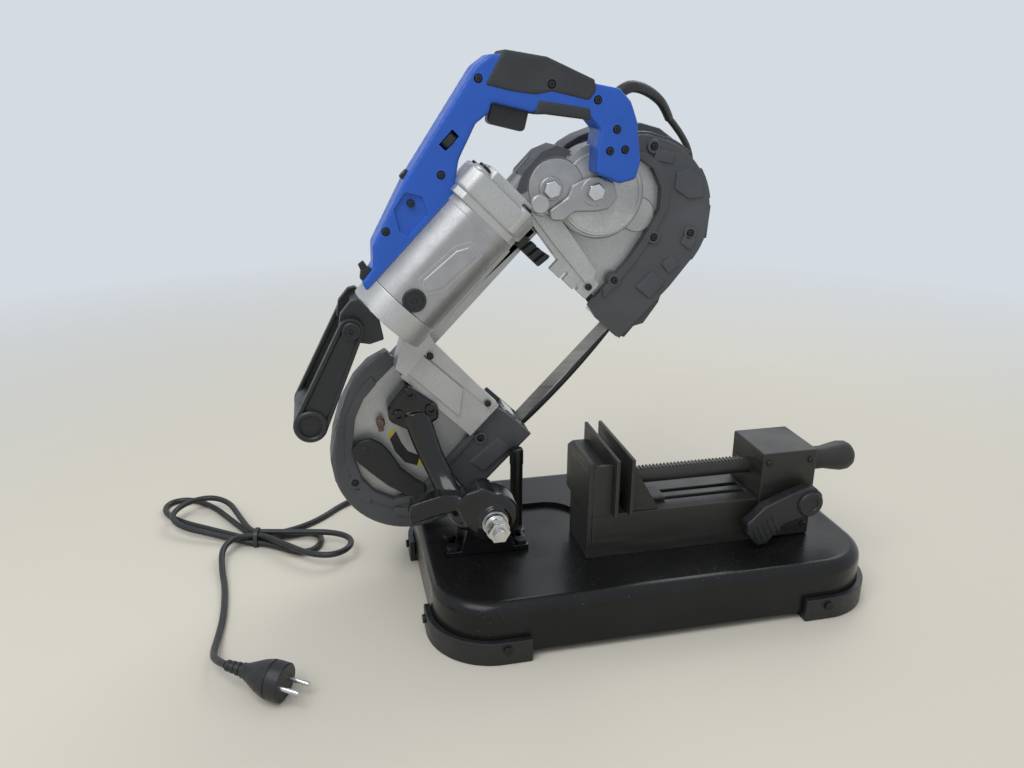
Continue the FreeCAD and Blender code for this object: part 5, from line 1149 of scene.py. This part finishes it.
stud_tab = block([(-23, 121), (-11, 133), (-7, 129), (-19, 117)], -7.4, -5, 0.8)
fit_saw("deck_stud", dull_bronze, stud, stud_tab)
print("lever faces", len(lever.data.polygons))

# %% [markdown]
# ## The vise
# The vise is a folded channel with a solid block at one end, a push rod with a round knob and a cam lever.
# The block and the closed front of the fixed jaw are extruded outlines with rounded edges.

# %% Vise block and fixed jaw front
vise_block = block([(118.4, 61), (118.4, 161), (181.6, 161), (181.6, 61)], -73, -6, 2, 3)
fit_stand("vise_block_cast", vise_paint, vise_block, hides="vise_block")
jaw_front = block([(-66, 109), (-66, 161), (-61, 165), (-46, 165), (-46, 109)], -73, -69, 1)
jaw_top = block([(-66, 100), (-66, 150), (-60, 154), (-46, 154), (-46, 100)], -70, 22, 1)
fit_stand("jaw_front", vise_paint, jaw_front, jaw_top)
pin_steps = [(-72, 3.4), (-74.4, 3.4), (-75.2, 2.6), (-75.2, 0.3)]
pins = [peg(spot, pin_steps, 20) for spot in ((126, 150), (174, 150), (174, 74))]
fit_stand("vise_pins", black_screw, *pins)
print("vise block", [round(value, 3) for value in vise_block.dimensions])

# %% [markdown]
# The rod and its knob are turned in one piece. A row of low teeth on top gives the cam something to grip.

# %% Push rod and knob
rod_steps = [
    (-27, 8.6), (118, 8.6), (190, 8.6), (190.5, 11), (194, 12.6), (208, 12.6), (218, 14.6), (228, 16.4),
    (236, 15.8), (241, 13), (244.5, 8.4), (246, 3)]
rod = turned((0, -41, 135.5), "along", rod_steps)
tooth_root, tooth_tip = 143.4, 144.9
teeth = []
for along in range(-18, 110, 4):
    root = [(along, tooth_root), (along + 2.4, tooth_root)]
    tip = [(along + 1.9, tooth_tip), (along + 0.5, tooth_tip)]
    teeth.append(slab(root + tip, -45, -37))
fit_stand("push_rod_turned", vise_paint, rod, *teeth, body="vise_jaw", hides="push_rod")
print("rack teeth", len(teeth))

# %% [markdown]
# The cam lever swings on a round hub, and raised lines on its end help the thumb.
# The stop post beside the hinge, which the saw meets at the end of its cut, is turned with a foot and a cap.

# %% Cam lever and stop post
cam_outline = [
    (161, 127), (172, 126), (180, 118), (182, 107), (177, 96), (166, 93), (154, 91), (140, 87), (130, 78),
    (121, 66), (109, 66), (97, 80), (96, 92), (115, 110), (141, 121)]
cam_centre = (166, 109)
cam_way, cam_side = Vector((-0.88, -0.474)), Vector((0.474, -0.88))
hub_steps = [(-74, 9), (-80, 9), (-80, 14), (-95.6, 14), (-97, 12.6), (-97, 8), (-95.8, 7.4), (-95.8, 0.3)]
cam = block(cam_outline, -94, -80, 2.2, 3)
cam_forms = [cam, peg(cam_centre, hub_steps)]
line_corners = [(9, -1.2), (9, 1.2), (-10, 1.2), (-10, -1.2)]
first_line = 42
for reach in range(first_line, 68, 6):
    middle = Vector(cam_centre) + cam_way * reach + cam_side * (reach - first_line) / 16
    thumb_line = [tuple(middle + cam_side * long + cam_way * wide) for long, wide in line_corners]
    cam_forms.append(slab(thumb_line, -95.4, -93))
fit_stand("cam_lever_cast", black_moulding, *cam_forms, body="clamp_lever", hides="clamp_lever")
post_steps = [(60, 9.6), (63, 9.6), (64, 6.8), (140, 6.8), (141, 7.4), (156, 7.4), (158.4, 6), (159.4, 3)]
fit_stand("stop_post_turned", base_enamel, turned((-128, 3, 0), "up", post_steps, 36), hides="stop_post")
print("lever faces", len(cam.data.polygons))

# %% [markdown]
# ## Small fittings on the handle and the cord's sleeve
# A lock button stands on the handle's back, a clip for the key sits at its foot and a sleeve guards the cord.
# The sleeve is a line with a round section that narrows, so that it bends evenly and never kinks.

# %% Button, clip and sleeve
button = turned((188, seam, 0), "up", [(270, 5), (279.6, 5), (280.6, 4.2), (280.6, 0.3)], 24)
clip = block([(90, 247), (97, 252), (104, 249), (104, 243), (92, 242)], -46, -38, 1.4)
clip_hook = block([(96, 250), (99, 257), (105, 256), (103, 248)], -44, -40, 1)
fit_saw("handle_fittings", black_moulding, button, clip, clip_hook)
sleeve_spots = [(374, -31, 182), (390, -30, 180), (401, -21, 166), (409, -8, 148), (413, 4, 130)]
sleeve_route = [on_saw(*spot) for spot in sleeve_spots] + [cord_exit]
sleeve = thicken(smooth_line("cord_sleeve", sleeve_route, [1.5, 1.45, 1.35, 1.25, 1.15, 1.1]), 0.004)
settle(sleeve, cord_rubber, "saw", "strain_relief", sharp=50)
print("sleeve faces", len(sleeve.data.polygons))

# %% [markdown]
# ## The plug
# The plug is a turned rubber body with a ribbed neck, a flange and two round pins.
# It lies on the bench on its side, so it is turned on its own axis and then laid in place.

# %% Plug
plug_steps = [
    (0, 4.6), (1, 5.2), (3.4, 5.2), (4, 4.6), (5.2, 4.6), (6, 5.6), (8.6, 5.6), (9.4, 4.8), (10.6, 4.8),
    (11.4, 6.2), (14, 6.2), (14.8, 5.2), (16, 5.2), (17, 7), (20, 7.2), (26, 10), (36, 15), (44, 17.4),
    (46, 17.6), (46.6, 16.8), (48, 16.8), (48.6, 17.9), (59, 17.9), (60, 17)]
plug_pin_steps = [(59, 2.35), (77, 2.35), (78.6, 1.6), (79, 0.8)]
pin_offset = 9.5
plug_body = gather("plug_moulding", turned((0, 0, 0), "along", plug_steps, 48))
plug_pins = gather("plug_pins", *[turned((0, 0, side), "along", plug_pin_steps, 20)
                                  for side in (-pin_offset, pin_offset)])
plug_place = Matrix.Translation(on_stand(*cord_tail[-1]))
for degrees, axis in ((-29.35, "Z"), (5.9, "Y"), (76.9, "X")):
    plug_place = plug_place @ Matrix.Rotation(math.radians(degrees), 4, axis)
settle(move(plug_body, plug_place), cord_rubber, "stand", "plug")
settle(move(plug_pins, plug_place), bright_zinc, "stand")
print("plug box", [round(value, 3) for value in plug_body.dimensions])
